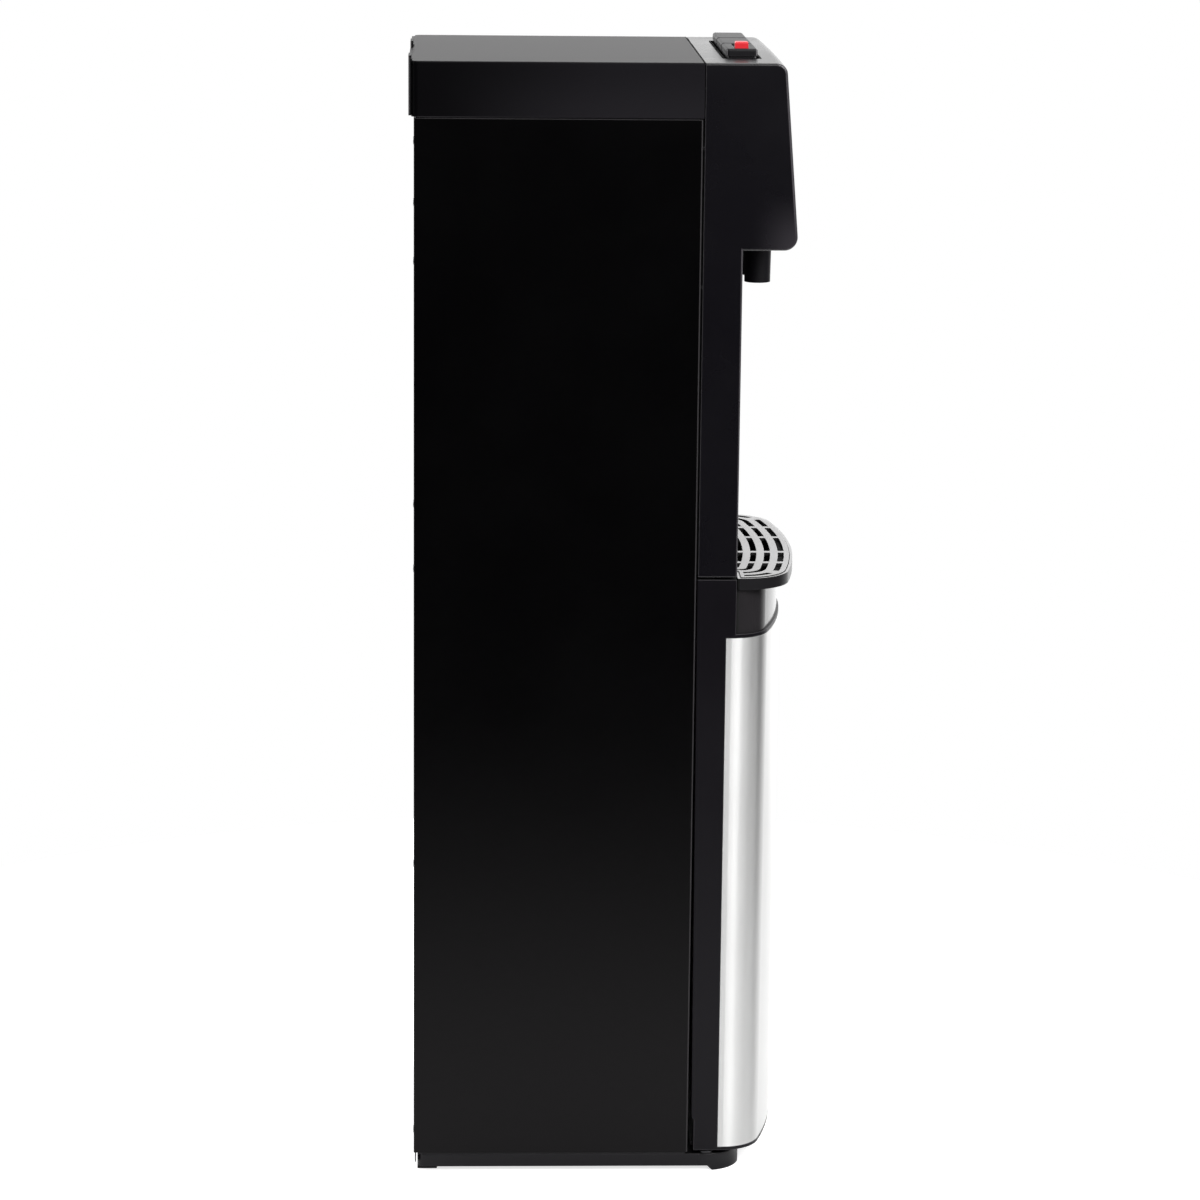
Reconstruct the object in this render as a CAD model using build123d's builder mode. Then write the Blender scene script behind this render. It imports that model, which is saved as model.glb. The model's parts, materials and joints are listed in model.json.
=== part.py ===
from build123d import *
import os

# Bottom load water cooler, free standing. Millimetres, +Z up, the front faces -Y.
# "Forward" distances are measured from the rear face of the top cap towards the front.

os.makedirs("parts", exist_ok=True)

# ---------------------------------------------------------------- casing
body_w = 306.0  # width over both side panels, the cap, the housing and the door
total_h = 1041.0  # floor to the top of the cap and the hood
tray_overhang = 11.5  # forward reach of the drip tray, the foremost piece
cover_t = 2.5  # plate behind the cap, the rearmost piece

panel_t = 1.0  # painted sheet steel
panel_rear = 2.3
panel_setback = 1.0
panel_bottom = 18.5
panel_flange = 13.0
panel_fold = 1.6

cap_l = 261.4
cap_h = 49.5
cap_seam = 1.0
cap_wall = 2.4
cap_corner = 6.0
cap_edge = 1.2
tongue_h = 9.0
tab_w = 30.0
tab_h = 4.6
tab_mid = 15.0  # start of the inner tab
cover_margin = 2.5

fit = 0.1  # clearance of a moulded or sheet part against its seat
past = 1.0  # how far a cut or a join runs past a face
gap = 0.4  # clearance between pieces that move apart

# ---------------------------------------------------------------- base
base_top = 16.6
base_wall = 3.0
base_rear = 5.8
skirt_bottom = 4.6
skirt_inset = 0.6
apron_setback = 37.3
apron_l = 26.2
apron_corner = 32.7
base_rear_corner = 8.0
rib_x = 51.0
upstand_h = 12.0
upstand_rear = 6.2
foot_w = 46.0
foot_l = 20.0
foot_inset = 8.0

# ---------------------------------------------------------------- front housing
housing_gap = 0.8
housing_wall = 2.5
cheek_w = 28.0
cheek_l = 36.6
cheek_round = 1.5
hood_h = 167.5
hood_reach_low = 86.6  # side edge of the hood's front at its underside
hood_reach_high = 73.2  # the same edge at the top
hood_bow_low = 6.0
hood_bow_high = 1.0
hood_top_round = 10.0
hood_low_round = 12.0
hood_side_round = 2.2
alcove_edge_reach = 4.6
alcove_bow = 16.0
ledge_t = 2.0
boss_r = 4.0
boss_l = 20.0
boss_gap = 0.1
screw_inset = 6.5
screw_r = 1.65
screw_hole = 2.1
screw_head_r = 3.6
screw_head_t = 1.6
housing_screw_rise = (76.0, 266.0, 391.0)

# ---------------------------------------------------------------- keys
key_w = 63.5
key_pitch = 66.0
key_setoff = 22.0
key_l = 28.8
key_proud = 8.5
key_skirt_depth = 8.0
key_wall = 2.0
key_round = 2.4
key_lip = 2.0  # the key's cap starts this far above the hood
key_inset = 1.0  # of the skirt under the cap
key_corner = 3.2
key_travel = 3.5
well_gap = 1.6
well_wall = 1.5
well_depth = 16.0
stem_r = 3.0
stem_run = 0.05
stem_spread = 20.0
clip_r = 4.2
clip_t = 2.5
groove_w = 12.6
groove_depth = 2.0
lock_w = 12.0
lock_l = 10.0
lock_proud = 6.0
lock_travel = 12.0
lock_margin = 4.0
lock_round = 1.6
board_t = 1.6
board_drop = 20.0
board_half = 90.0
micro_h = 6.0
micro_l = 20.0
micro_w = 7.0
window_half = 30.0
window_depth = 53.0
window_h = 9.0

# ---------------------------------------------------------------- nozzles and valves
nozzle_reach = 57.6
nozzle_pitch = 50.0
nozzle_l = 41.5
nozzle_r_top = 12.6
nozzle_r_end = 12.0
nozzle_wall = 2.0
spout_r = 5.0
spout_bore = 3.2
spout_l = 35.5
collar_r = 16.0
collar_t = 2.0
valve_rise = 16.5
valve_h = 24.0
valve_coil_r = 11.0
valve_coil_h = 16.0
valve_port_rise = 13.0
valve_w = 26.0
valve_l = 30.0
valve_port_l = 8.0
pipe_r = 4.0
pipe_bore = 2.6

# ---------------------------------------------------------------- door
door_depth = 86.1
door_bow = 28.1
door_corner = 36.0
door_rear_round = 1.5
door_lean = 2.4  # rear face at the door's foot
door_bottom = 20.3
door_plate = 3.3
skin_setoff = 27.5
skin_t = 0.8
door_head_h = 51.3
frame_wall = 2.2
stile_w = 14.0
stile_wall = 2.5
head_w = 26.0
door_drop = 3.0
notch_top = 53.0
notch_depth = 2.3
hinge_inset = 5.5
hinge_setoff = 18.6
pin_r = 2.5
pin_run = 0.05
pin_l = 17.0
bush_r = 4.0
bush_l = 18.0
hinge_boss = 14.0
hinge_boss_h = 24.0
bracket_t = 2.0
bracket_round = 4.0
bracket_back_l = 8.5
bracket_front_l = 4.5
bracket_l = 39.5
bracket_inset = 1.5
upper_pin_grip = 14.0
upper_pin_end = 2.0
strike_t = 1.0
strike_w = 11.0
strike_h = 18.0
catch_inset = 25.0
catch_drop = 23.0
catch_gap = 0.5

# ---------------------------------------------------------------- drip tray
holder_setback = 49.5
holder_inset = 2.0
holder_gap = 0.3
holder_wall = 2.5
holder_setoff = 5.0
holder_rear_inset = 26.6
tray_bow = 19.2
tray_corner = 45.0
tray_rear_inset = 30.0
tray_setoff = 0.8
tray_drop = 12.4
tray_rim_h = 10.6
basin_gap = 0.8
basin_wall = 2.0
basin_depth = 30.6
rim_w = 2.5
grille_gap = 0.5
grille_t = 3.0
grille_proud = 0.7
slot_w = 5.7
slot_pitch = 12.9
slot_first = 8.0
slot_rings = 5
slot_margin = 3.5
bar_w = 7.5
bar_x = (34.5, 83.0)
corner_bar = 12.0
corner_bar_turn = 25.0

# ---------------------------------------------------------------- rear and decks
deck_t = 1.2
upper_h = 467.0
deck_rear = 8.0
deck_setback = 3.4
deck_lip = 18.0
rear_panel_f = 3.4
rear_panel_bottom = 9.0
rear_panel_rise = 30.0
switch_panel_drop = 149.0
switch_panel_t = 2.0
rocker_w = 13.0
rocker_h = 20.0
rocker_depth = 8.0
rocker_dish = 1.0
rocker_taper = 2.0
rocker_pivot = 6.0
rocker_pin_r = 1.5
rocker_pin_l = 1.3
rocker_well_wall = 1.6
rocker_well_l = 14.0
rocker_x = (-40.0, -10.0)
rocker_drop = 96.0
rocker_tilt = 9.0
rear_screw_low = (40.0, 300.0)
rear_screw_rise = (6.0, 66.0, 288.0, 341.0, 396.0)
rear_screw_l = 8.0
rear_head_t = 0.6
tank_shelf_rise = 216.0
tank_shelf_rear = 56.0
tank_shelf_setback = 31.4
shelf_notch_gap = 12.0
shelf_notch_end = 8.0

# ---------------------------------------------------------------- cold tank
tank_setback = 121.4
tank_r = 62.0
tank_h = 138.0
tank_wall = 1.0
foam_half = 88.0
foam_cover = 13.0
foam_lid_h = 18.0
foam_floor = 14.0
foam_bore = 72.0
coil_r = 4.0
coil_gap = 0.3
coil_pitch = 13.0
coil_turns = 6
coil_lift = 10.0
port_rise = 36.0
port_reach = 8.0
port_l = 12.0

# ---------------------------------------------------------------- hot tank
hot_inset = 73.0
hot_f = 95.0
hot_rise = 30.0
hot_r = 42.0
hot_h = 142.0
hot_wall = 1.0
jacket_r = 54.0
jacket_end = 2.0
heater_t = 2.5
heater_rise = 36.0
heater_h = 36.0
leg_r = 4.0
leg_spread = 30.0
leg_count = 3
feed_rise = 37.0
feed_reach = 6.0
drain_rise = 16.0
drain_cap_r = 11.0
drain_cap_l = 12.0
drain_cap_end = 3.0
drain_seat = 6.0

# ---------------------------------------------------------------- compressor and condenser
comp_inset = 81.0
comp_f = 92.0
comp_r = 56.0
comp_rise = 18.0
comp_h = 138.0
comp_dome = 30.0
comp_plate_half_x = 66.0
comp_plate_half_f = 52.0
comp_plate_t = 3.0
mount_r = 9.0
mount_spread_x = 54.0
mount_spread_f = 40.0
stub_r = 3.2
stub_l = 14.0
stub_spread = 26.0
cond_f = 9.4
cond_r = 2.4
cond_half = 100.0
cond_stub = 12.0
cond_rise = 66.0
cond_pitch = 26.0
cond_rows = 9
cond_bend = 12.48
wire_r = 0.7
wire_count = 18
wire_pitch = 10.0
wire_over = 10.0
strip_lap = 6.0
strip_inset = 4.0
strip_t = 1.0
strip_over = 22.0
strip_tab = 5.0
drier_inset = 23.0
drier_f = 24.0
drier_r = 8.0
drier_rise = 18.0
drier_l = 76.0
drier_neck = 10.0
capillary_r = 1.3
bend_r = 8.0
line_rise = 20.0
line_back = 18.0
line_step = 28.0

# ---------------------------------------------------------------- pump, water lines and probe
pump_setback = 56.4
pump_half = 22.0
pump_h = 38.0
pump_round = 4.0
pump_foot = 6.0
pump_foot_w = 8.0
pump_stub = 3.0
side_port_rise = 25.0
motor_r = 17.0
motor_l = 30.0
tube_bend = 12.0
hot_bend = 9.0
room_run = 28.0
room_rise = 34.0
supply_inset = 19.0
supply_over = 22.0
hot_over = 18.0
hot_side_inset = 35.0
hot_step = 15.0
tube_end = 16.0
cold_dip = 6.0
hose_r = 4.5
hose_bore = 3.0
hose_drop = 24.0
hose_sag = 29.0
hose_shift_x = -5.0
hose_shift_f = -16.0
hose_rise = 20.0
hose_bends = (12.0, 60.0, 9.0)
probe_inset = 35.0
probe_f = 38.0
probe_r = 10.0
probe_tube_low = 106.0
probe_drop = 74.0
probe_cap_r = 23.0
probe_cap_h = 28.0
probe_cap_round = 4.0
probe_wall = 2.0
probe_barb = 12.0
probe_tip = 14.0
probe_tip_round = 5.0
probe_slot_w = 4.0
probe_slot_h = 20.0
hanger_t = 3.0
hanger_half = 16.0
hanger_drop = 24.0
hanger_rim = 4.0
box_inset = 15.0
box_l = 76.0
box_setback = 25.4
box_w = 50.0
box_h = 96.0
box_wall = 2.0
box_round = 3.0
inlet_inset = 37.0
inlet_rise = 14.0
inlet_r = 9.0
inlet_bore = 4.0
inlet_flange = 12.0
inlet_flange_t = 2.0
inlet_l = 10.0

# ---------------------------------------------------------------- places worked out from the sizes
half_w = body_w / 2

# heights
cap_bottom = total_h - cap_h
panel_top = cap_bottom - cap_seam
hood_bottom = total_h - hood_h
key_top = total_h + key_proud
key_skirt = total_h - key_skirt_depth
well_floor = total_h - well_depth
window_low = total_h - window_depth
nozzle_end = hood_bottom - nozzle_l
spout_end = hood_bottom - spout_l
valve_bottom = hood_bottom + valve_rise
line_z = valve_bottom + valve_port_rise  # height of the water lines into the valves
deck_z = total_h - upper_h
deck_top = deck_z + deck_t
housing_bottom = deck_z - gap
door_top = deck_z - door_drop
shelf_top = door_top - door_head_h
skin_bottom = door_bottom + door_plate
skin_top = shelf_top - door_plate - gap
tray_low = deck_z - tray_drop
tray_top = tray_low + tray_rim_h
holder_top = tray_low - holder_gap
grille_top = tray_top + grille_proud
basin_bottom = tray_low - basin_depth
catch_low = door_top - catch_drop
rear_panel_top = deck_z + rear_panel_rise
switch_panel_bottom = total_h - switch_panel_drop
rocker_z = total_h - rocker_drop
tank_shelf_z = deck_z + tank_shelf_rise
hot_bottom = deck_z + hot_rise
heater_low = hot_bottom + heater_rise
drain_z = deck_z + drain_rise
comp_bottom = deck_z + comp_rise
cond_low = deck_z + cond_rise
drier_low = cond_low + drier_rise
inlet_z = deck_z + inlet_rise
probe_cap_low = deck_z - probe_drop
housing_screw_z = [deck_z + rise for rise in housing_screw_rise]
rear_screw_z = [*rear_screw_low, *(deck_z + rise for rise in rear_screw_rise)]

# widths
key_x = (-key_pitch, 0.0, key_pitch)
nozzle_x = (-nozzle_pitch, 0.0, nozzle_pitch)
uses = ("hot", "room", "cold")
screw_x = half_w - screw_inset
stile_in = half_w - stile_w
head_in = half_w - head_w
hinge_x = hinge_inset - half_w
bracket_side = bracket_inset - half_w
bracket_in = bracket_side + bracket_l
catch_in = half_w - catch_inset
holder_rear_half = half_w - holder_rear_inset
tray_rear_half = half_w - tray_rear_inset
strip_out = half_w - strip_inset
strip_in = cond_half - strip_lap
hot_x = hot_inset - half_w
comp_x = half_w - comp_inset
drier_x = drier_inset - half_w
pump_x = hot_x
probe_x = probe_inset - half_w
box_x = (half_w - box_inset - box_l, half_w - box_inset)
inlet_x = half_w - inlet_inset
shelf_notch_in = foam_half + shelf_notch_gap

# forward distances
panel_front = cap_l - panel_setback
housing_back = cap_l + housing_gap
cheek_front = cap_l + cheek_l
hood_edge_low = cap_l + hood_reach_low
hood_edge_high = cap_l + hood_reach_high
alcove_edge = cap_l + alcove_edge_reach
alcove_mid = alcove_edge - alcove_bow
boss_reach = panel_front + boss_gap
key_back = cap_l + key_setoff
key_front = key_back + key_l
nozzle_f = cap_l + nozzle_reach
door_back = cap_l  # rear face at the door's top
door_back_low = door_back + door_lean
door_front = door_back + door_depth
skin_back = door_back + skin_setoff
hinge_f = door_back + hinge_setoff
bracket_back = hinge_f - bracket_back_l
bracket_front = hinge_f + bracket_front_l
apron_front = door_front - apron_setback
apron_back = apron_front - apron_l
deck_front = cap_l - deck_setback
holder_front = door_front - holder_setback
holder_back = door_back + holder_setoff
tray_back = holder_back + tray_setoff
tray_reach = door_front + tray_overhang
tank_shelf_front = cap_l - tank_shelf_setback
tank_f = cap_l - tank_setback
foam_back = tank_f - foam_half
foam_front = tank_f + foam_half
pump_f = cap_l - pump_setback
box_f = (cap_l - box_setback - box_w, cap_l - box_setback)
rear_y = (tray_reach - cover_t) / 2  # Y of the cap's rear face


# ---------------------------------------------------------------- helpers
def y_of(forward):
    """Y of a point this far in front of the cap's rear face."""
    return rear_y - forward


def at(x, forward, z):
    """A point from its width, forward distance and height."""
    return Vector(x, y_of(forward), z)


def box_plan(x_a, x_b, f_a, f_b, mode=Mode.ADD):
    """A rectangle seen from above, in the sketch that is open."""
    with Locations(((x_a + x_b) / 2, y_of((f_a + f_b) / 2))):
        Rectangle(abs(x_b - x_a), abs(f_b - f_a), mode=mode)


def block(x_a, x_b, f_a, f_b, z_a, z_b, mode=Mode.ADD):
    """A box between two widths, two forward distances and two heights."""
    with Locations(at((x_a + x_b) / 2, (f_a + f_b) / 2, (z_a + z_b) / 2)):
        Box(abs(x_b - x_a), abs(f_b - f_a), abs(z_b - z_a), mode=mode)


def post(x, forward, z, radius, height, mode=Mode.ADD):
    """An upright cylinder that stands on height z."""
    with Locations(at(x, forward, z)):
        Cylinder(radius, height, align=(Align.CENTER, Align.CENTER, Align.MIN), mode=mode)


def peg(x, forward, z, radius, length, mode=Mode.ADD):
    """A cylinder that runs towards the front from a forward distance."""
    with Locations(at(x, forward, z)):
        Cylinder(
            radius,
            length,
            rotation=(90, 0, 0),
            align=(Align.CENTER, Align.CENTER, Align.MIN),
            mode=mode,
        )


def bowed_plan(back, front, bow, corner, inset=0.0):
    """Plan with straight sides and back, a bowed front and round front corners."""
    shoulder = y_of(front - bow)
    with BuildSketch(mode=Mode.PRIVATE) as plan:
        with BuildLine():
            ThreePointArc((-half_w, shoulder), (0, y_of(front)), (half_w, shoulder))
            Polyline(
                (half_w, shoulder),
                (half_w, y_of(back)),
                (-half_w, y_of(back)),
                (-half_w, shoulder),
            )
        make_face()
        fillet(plan.vertices().sort_by(Axis.Y)[:2], corner)
        if inset:
            offset(amount=-inset)
    return plan.sketch


def hood_form(draw_in, back):
    """The hood's closed form, drawn in on every side but the rear."""
    low = hood_bottom + draw_in
    high = total_h - draw_in
    slope = (hood_edge_high - hood_edge_low) / (total_h - hood_bottom)
    side = half_w - draw_in
    with BuildPart(mode=Mode.PRIVATE) as form:
        for z, bow in ((low, hood_bow_low), (high, hood_bow_high)):
            edge = y_of(hood_edge_low + slope * (z - hood_bottom) - draw_in)
            with BuildSketch(Plane.XY.offset(z)):
                with BuildLine():
                    ThreePointArc((-side, edge), (0, edge - bow), (side, edge))
                    Polyline((side, edge), (side, y_of(back)), (-side, y_of(back)), (-side, edge))
                make_face()
        loft(ruled=True)
        fillet(form.edges().filter_by(GeomType.CIRCLE).sort_by(Axis.Z)[-1], hood_top_round - draw_in)
        fillet(form.edges().filter_by(GeomType.CIRCLE).sort_by(Axis.Z)[0], hood_low_round - draw_in)
    return form.part


def pipe(route, bends, radius, bore=0.0):
    """A round tube of straight runs joined by arcs."""
    with BuildPart(mode=Mode.PRIVATE) as tube:
        with BuildLine() as path:
            FilletPolyline(*route, radius=bends)
        with BuildSketch(Plane(origin=path.line @ 0, z_dir=path.line % 0)):
            Circle(radius)
            if bore:
                Circle(bore, mode=Mode.SUBTRACT)
        sweep(path=path.line)
    return tube.part


# ---------------------------------------------------------------- base and feet
base_half = half_w - skirt_inset / 2

with BuildPart() as base:
    with BuildSketch() as footprint:
        box_plan(-base_half, base_half, base_rear, apron_front)
        fillet(footprint.vertices().sort_by(Axis.Y)[:2], apron_corner)
        fillet(footprint.vertices().sort_by(Axis.Y)[-2:], base_rear_corner)
    extrude(amount=base_top)
    with BuildSketch(Plane.YZ):
        with BuildLine():
            Polyline(
                (y_of(base_rear) + past, -1),
                (y_of(base_rear) + past, skirt_bottom),
                (y_of(apron_back - skirt_bottom), skirt_bottom),
                (y_of(apron_back), 0),
                (y_of(apron_back), -1),
                close=True,
            )
        make_face()
    extrude(amount=body_w, both=True, mode=Mode.SUBTRACT)
    with BuildSketch():
        add(footprint.sketch)
        offset(amount=-base_wall)
    extrude(amount=base_top - base_wall, mode=Mode.SUBTRACT)
    for side in (-1, 1):
        # land above each rear foot, and a rib under the floor
        land = side * (half_w - foot_inset)
        block(land, land - side * foot_w, base_rear + past, base_rear + foot_l, skirt_bottom, base_top - past)
        rib = side * rib_x
        rib_side = rib + base_wall
        block(rib, rib_side, base_rear + past, apron_front - past, skirt_bottom, base_top - past)
    # low wall inside the panels
    upstand_half = half_w - panel_t - fit
    upstand_front = panel_front - 2 * panel_t
    with BuildSketch(Plane.XY.offset(base_top)):
        box_plan(-upstand_half, upstand_half, upstand_rear, upstand_front)
        inner = upstand_half - base_wall
        box_plan(-inner, inner, upstand_rear + base_wall, upstand_front + past, mode=Mode.SUBTRACT)
    extrude(amount=upstand_h)
base.part.label = "base"
export_step(base.part, "parts/base.step")

with BuildPart() as rear_feet:
    for side in (-1, 1):
        foot_x = side * (half_w - foot_inset - foot_w / 2)
        with BuildSketch(Plane.YZ.offset(foot_x)):
            with BuildLine():
                Polyline(
                    (y_of(base_rear), 0),
                    (y_of(base_rear), skirt_bottom),
                    (y_of(base_rear + foot_l), skirt_bottom),
                    (y_of(base_rear + foot_l - 2), 0),
                    close=True,
                )
            make_face()
        extrude(amount=foot_w / 2, both=True)
rear_feet.part.label = "rear_feet"
export_step(rear_feet.part, "parts/rear_feet.step")

# ---------------------------------------------------------------- side panels
for side, name in ((-1, "side_panel_left"), (1, "side_panel_right")):
    with BuildPart() as side_panel:
        with BuildSketch(Plane.XY.offset(panel_bottom)) as fold:
            box_plan(side * half_w, side * (half_w - panel_flange), panel_rear, panel_front)
            outer = fold.vertices().group_by(Axis.X)[0 if side < 0 else -1]
            fillet(outer, panel_fold)
            box_plan(
                side * (half_w - panel_t),
                side * (half_w - panel_flange - past),
                panel_rear + panel_t,
                panel_front - panel_t,
                mode=Mode.SUBTRACT,
            )
        extrude(amount=panel_top - panel_bottom)
        for z in housing_screw_z:
            peg(side * screw_x, panel_front - 2 * panel_t, z, screw_hole, 3 * panel_t, mode=Mode.SUBTRACT)
        for z in rear_screw_z:
            peg(side * screw_x, panel_rear - panel_t, z, screw_hole, 3 * panel_t, mode=Mode.SUBTRACT)
    side_panel.part.label = name
    export_step(side_panel.part, f"parts/{name}.step")

# ---------------------------------------------------------------- rear panels
rocker_axis_f = rear_panel_f + rocker_pivot
sheet_half = half_w - panel_t - 3 * fit

with BuildPart() as rear_panel:
    block(-sheet_half, sheet_half, rear_panel_f, rear_panel_f + panel_t, rear_panel_bottom, rear_panel_top)
    for z in rear_screw_z:
        for side in (-1, 1):
            peg(side * screw_x, rear_panel_f - past, z, screw_r + fit, 3 * panel_t, mode=Mode.SUBTRACT)
    # outlets for the mains lead and the hot tank's drain
    peg(inlet_x, rear_panel_f - past, inlet_z, inlet_r + fit, 3 * panel_t, mode=Mode.SUBTRACT)
    peg(hot_x, rear_panel_f - past, drain_z, drain_cap_r + gap, 3 * panel_t, mode=Mode.SUBTRACT)
rear_panel.part.label = "rear_panel"
export_step(rear_panel.part, "parts/rear_panel.step")

with BuildPart() as switch_panel:
    block(
        -sheet_half,
        sheet_half,
        rear_panel_f,
        rear_panel_f + switch_panel_t,
        switch_panel_bottom,
        panel_top - 1,
    )
    for z in rear_screw_z:
        for side in (-1, 1):
            peg(side * screw_x, rear_panel_f - past, z, screw_r + fit, 4 * panel_t, mode=Mode.SUBTRACT)
    for x in rocker_x:
        # well of each rocker, with holes for its pivot pins
        half_x = rocker_w / 2 + gap
        half_z = rocker_h / 2 + gap
        block(
            x - half_x - rocker_well_wall,
            x + half_x + rocker_well_wall,
            rear_panel_f,
            rear_panel_f + rocker_well_l,
            rocker_z - half_z - rocker_well_wall,
            rocker_z + half_z + rocker_well_wall,
        )
        block(
            x - half_x,
            x + half_x,
            rear_panel_f - past,
            rear_panel_f + rocker_well_l - rocker_well_wall,
            rocker_z - half_z,
            rocker_z + half_z,
            mode=Mode.SUBTRACT,
        )
        with Locations(at(x, rocker_axis_f, rocker_z)):
            Cylinder(rocker_pin_r, rocker_w + 2 * rocker_pin_l + gap, rotation=(0, 90, 0), mode=Mode.SUBTRACT)
switch_panel.part.label = "switch_panel"
export_step(switch_panel.part, "parts/switch_panel.step")

rocker_tip = rocker_h / 2 - rocker_dish
rocker_foot = rocker_tip - rocker_taper
rocker_face = rocker_pivot - rocker_dish
rocker_slope = Vector(0, 1, 0).rotate(Axis.X, rocker_tilt)

for x, name in zip(rocker_x, ("rocker_hot", "rocker_cold")):
    with BuildPart() as rocker:
        # dished paddle, pressed in at its foot, with a pivot pin on each side
        with BuildSketch(Plane(at(x, rocker_axis_f, rocker_z), x_dir=rocker_slope, z_dir=(1, 0, 0))):
            with BuildLine():
                Polyline(
                    (rocker_face - rocker_depth, -rocker_foot),
                    (rocker_face, -rocker_tip),
                    (rocker_face - rocker_dish, 0),
                    (rocker_face, rocker_tip),
                    (rocker_face - rocker_depth, rocker_foot),
                    close=True,
                )
            make_face()
        extrude(amount=rocker_w / 2, both=True)
        with Locations(at(x, rocker_axis_f, rocker_z)):
            Cylinder(rocker_pin_r - stem_run, rocker_w + 2 * rocker_pin_l, rotation=(0, 90, 0))
    rocker.part.label = name
    export_step(rocker.part, f"parts/{name}.step")

# ---------------------------------------------------------------- cap
with BuildPart() as top_cap:
    block(-half_w, half_w, 0, cap_l, cap_bottom, total_h)
    fillet(top_cap.edges().filter_by(Axis.Z).sort_by(Axis.Y)[-2:], cap_corner)
    top_edges = top_cap.faces().sort_by(Axis.Z)[-1].edges()
    fillet(top_edges.filter_by(lambda e: e.center().Y > y_of(cap_l) + past), cap_edge)
    inner = half_w - cap_wall
    block(-inner, inner, cap_wall, cap_l + past, cap_bottom - past, total_h - cap_wall, mode=Mode.SUBTRACT)
    for side in (-1, 1):
        # tongue that drops inside the side panel
        tongue_out = side * (half_w - panel_t - fit)
        block(
            tongue_out,
            tongue_out - side * cap_wall,
            cap_corner + panel_fold,
            panel_front - 2 * panel_fold,
            cap_bottom - tongue_h,
            cap_bottom + tongue_h,
        )
top_cap.part.label = "top_cap"
export_step(top_cap.part, "parts/top_cap.step")

with BuildPart() as rear_top_cover:
    cover_half = half_w - cover_margin
    block(-cover_half, cover_half, -cover_t, 0, cap_bottom + 1, total_h - cap_edge)
    for tab_x in (-cover_half, tab_mid):
        block(tab_x, tab_x + tab_w, -cover_t, 0, total_h - 2 * tab_h, total_h + tab_h)
rear_top_cover.part.label = "rear_top_cover"
export_step(rear_top_cover.part, "parts/rear_top_cover.step")

# ---------------------------------------------------------------- front housing
cheek_in = half_w - cheek_w
well_half = key_pitch + key_w / 2 + well_gap
well_back = key_back - well_gap
well_front = key_front + well_gap
bezel_half = well_half + well_wall
bezel_back = well_back - well_wall
bezel_front = well_front + well_wall

with BuildPart() as front_housing:
    add(hood_form(0, housing_back))
    for side in (-1, 1):
        block(side * cheek_in, side * half_w, housing_back, cheek_front, housing_bottom, hood_bottom + past)
    outer_edges = front_housing.edges().filter_by(lambda e: abs(abs(e.center().X) - half_w) < fit)
    slanted = outer_edges.filter_by(lambda e: e.center().Y < y_of(hood_edge_high) and e.length > hood_h / 2)
    fillet(slanted, hood_side_round)
    upright = front_housing.edges().filter_by(Axis.Z)
    upright = upright.filter_by(lambda e: abs(e.center().Y - y_of(cheek_front)) < fit)
    fillet(upright, cheek_round)
    add(hood_form(housing_wall, housing_back - 2 * housing_wall), mode=Mode.SUBTRACT)
    for side in (-1, 1):
        block(
            side * (cheek_in + housing_wall),
            side * (half_w - housing_wall),
            housing_back - past,
            cheek_front - housing_wall,
            housing_bottom + housing_wall,
            hood_bottom,
            mode=Mode.SUBTRACT,
        )
        for z in housing_screw_z:
            peg(side * screw_x, boss_reach, z, boss_r, boss_l)
            block(
                side * screw_x,
                side * (half_w - housing_wall / 2),
                housing_back,
                boss_reach + boss_l,
                z - boss_r / 2,
                z + boss_r / 2,
            )
            peg(side * screw_x, boss_reach - past, z, screw_r + fit / 2, boss_l - past, mode=Mode.SUBTRACT)
    # seat of the upper hinge pin
    half_boss = hinge_boss / 2
    block(
        -half_w + housing_wall / 2,
        hinge_x + half_boss,
        hinge_f - half_boss,
        hinge_f + half_boss,
        housing_bottom + past,
        housing_bottom + hinge_boss_h,
    )
    post(hinge_x, hinge_f, housing_bottom - past, pin_r + fit / 4, upper_pin_grip + past, mode=Mode.SUBTRACT)
    for x in nozzle_x:
        post(x, nozzle_f, hood_bottom - past, nozzle_r_top + fit, 3 * housing_wall, mode=Mode.SUBTRACT)
    block(
        -bezel_half - fit,
        bezel_half + fit,
        bezel_back - fit,
        bezel_front + fit,
        total_h - 2 * housing_wall,
        total_h + past,
        mode=Mode.SUBTRACT,
    )
    block(
        -window_half - fit,
        window_half + fit,
        cheek_front,
        hood_edge_low + hood_bow_low,
        window_low - fit,
        window_low + window_h + fit,
        mode=Mode.SUBTRACT,
    )
front_housing.part.label = "front_housing"
export_step(front_housing.part, "parts/front_housing.step")

with BuildPart() as indicator_window:
    add(hood_form(0, housing_back))
    add(hood_form(housing_wall, housing_back - 2 * housing_wall), mode=Mode.SUBTRACT)
    block(
        -window_half,
        window_half,
        cheek_front,
        hood_edge_low + hood_bow_low,
        window_low,
        window_low + window_h,
        mode=Mode.INTERSECT,
    )
indicator_window.part.label = "indicator_window"
export_step(indicator_window.part, "parts/indicator_window.step")

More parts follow.
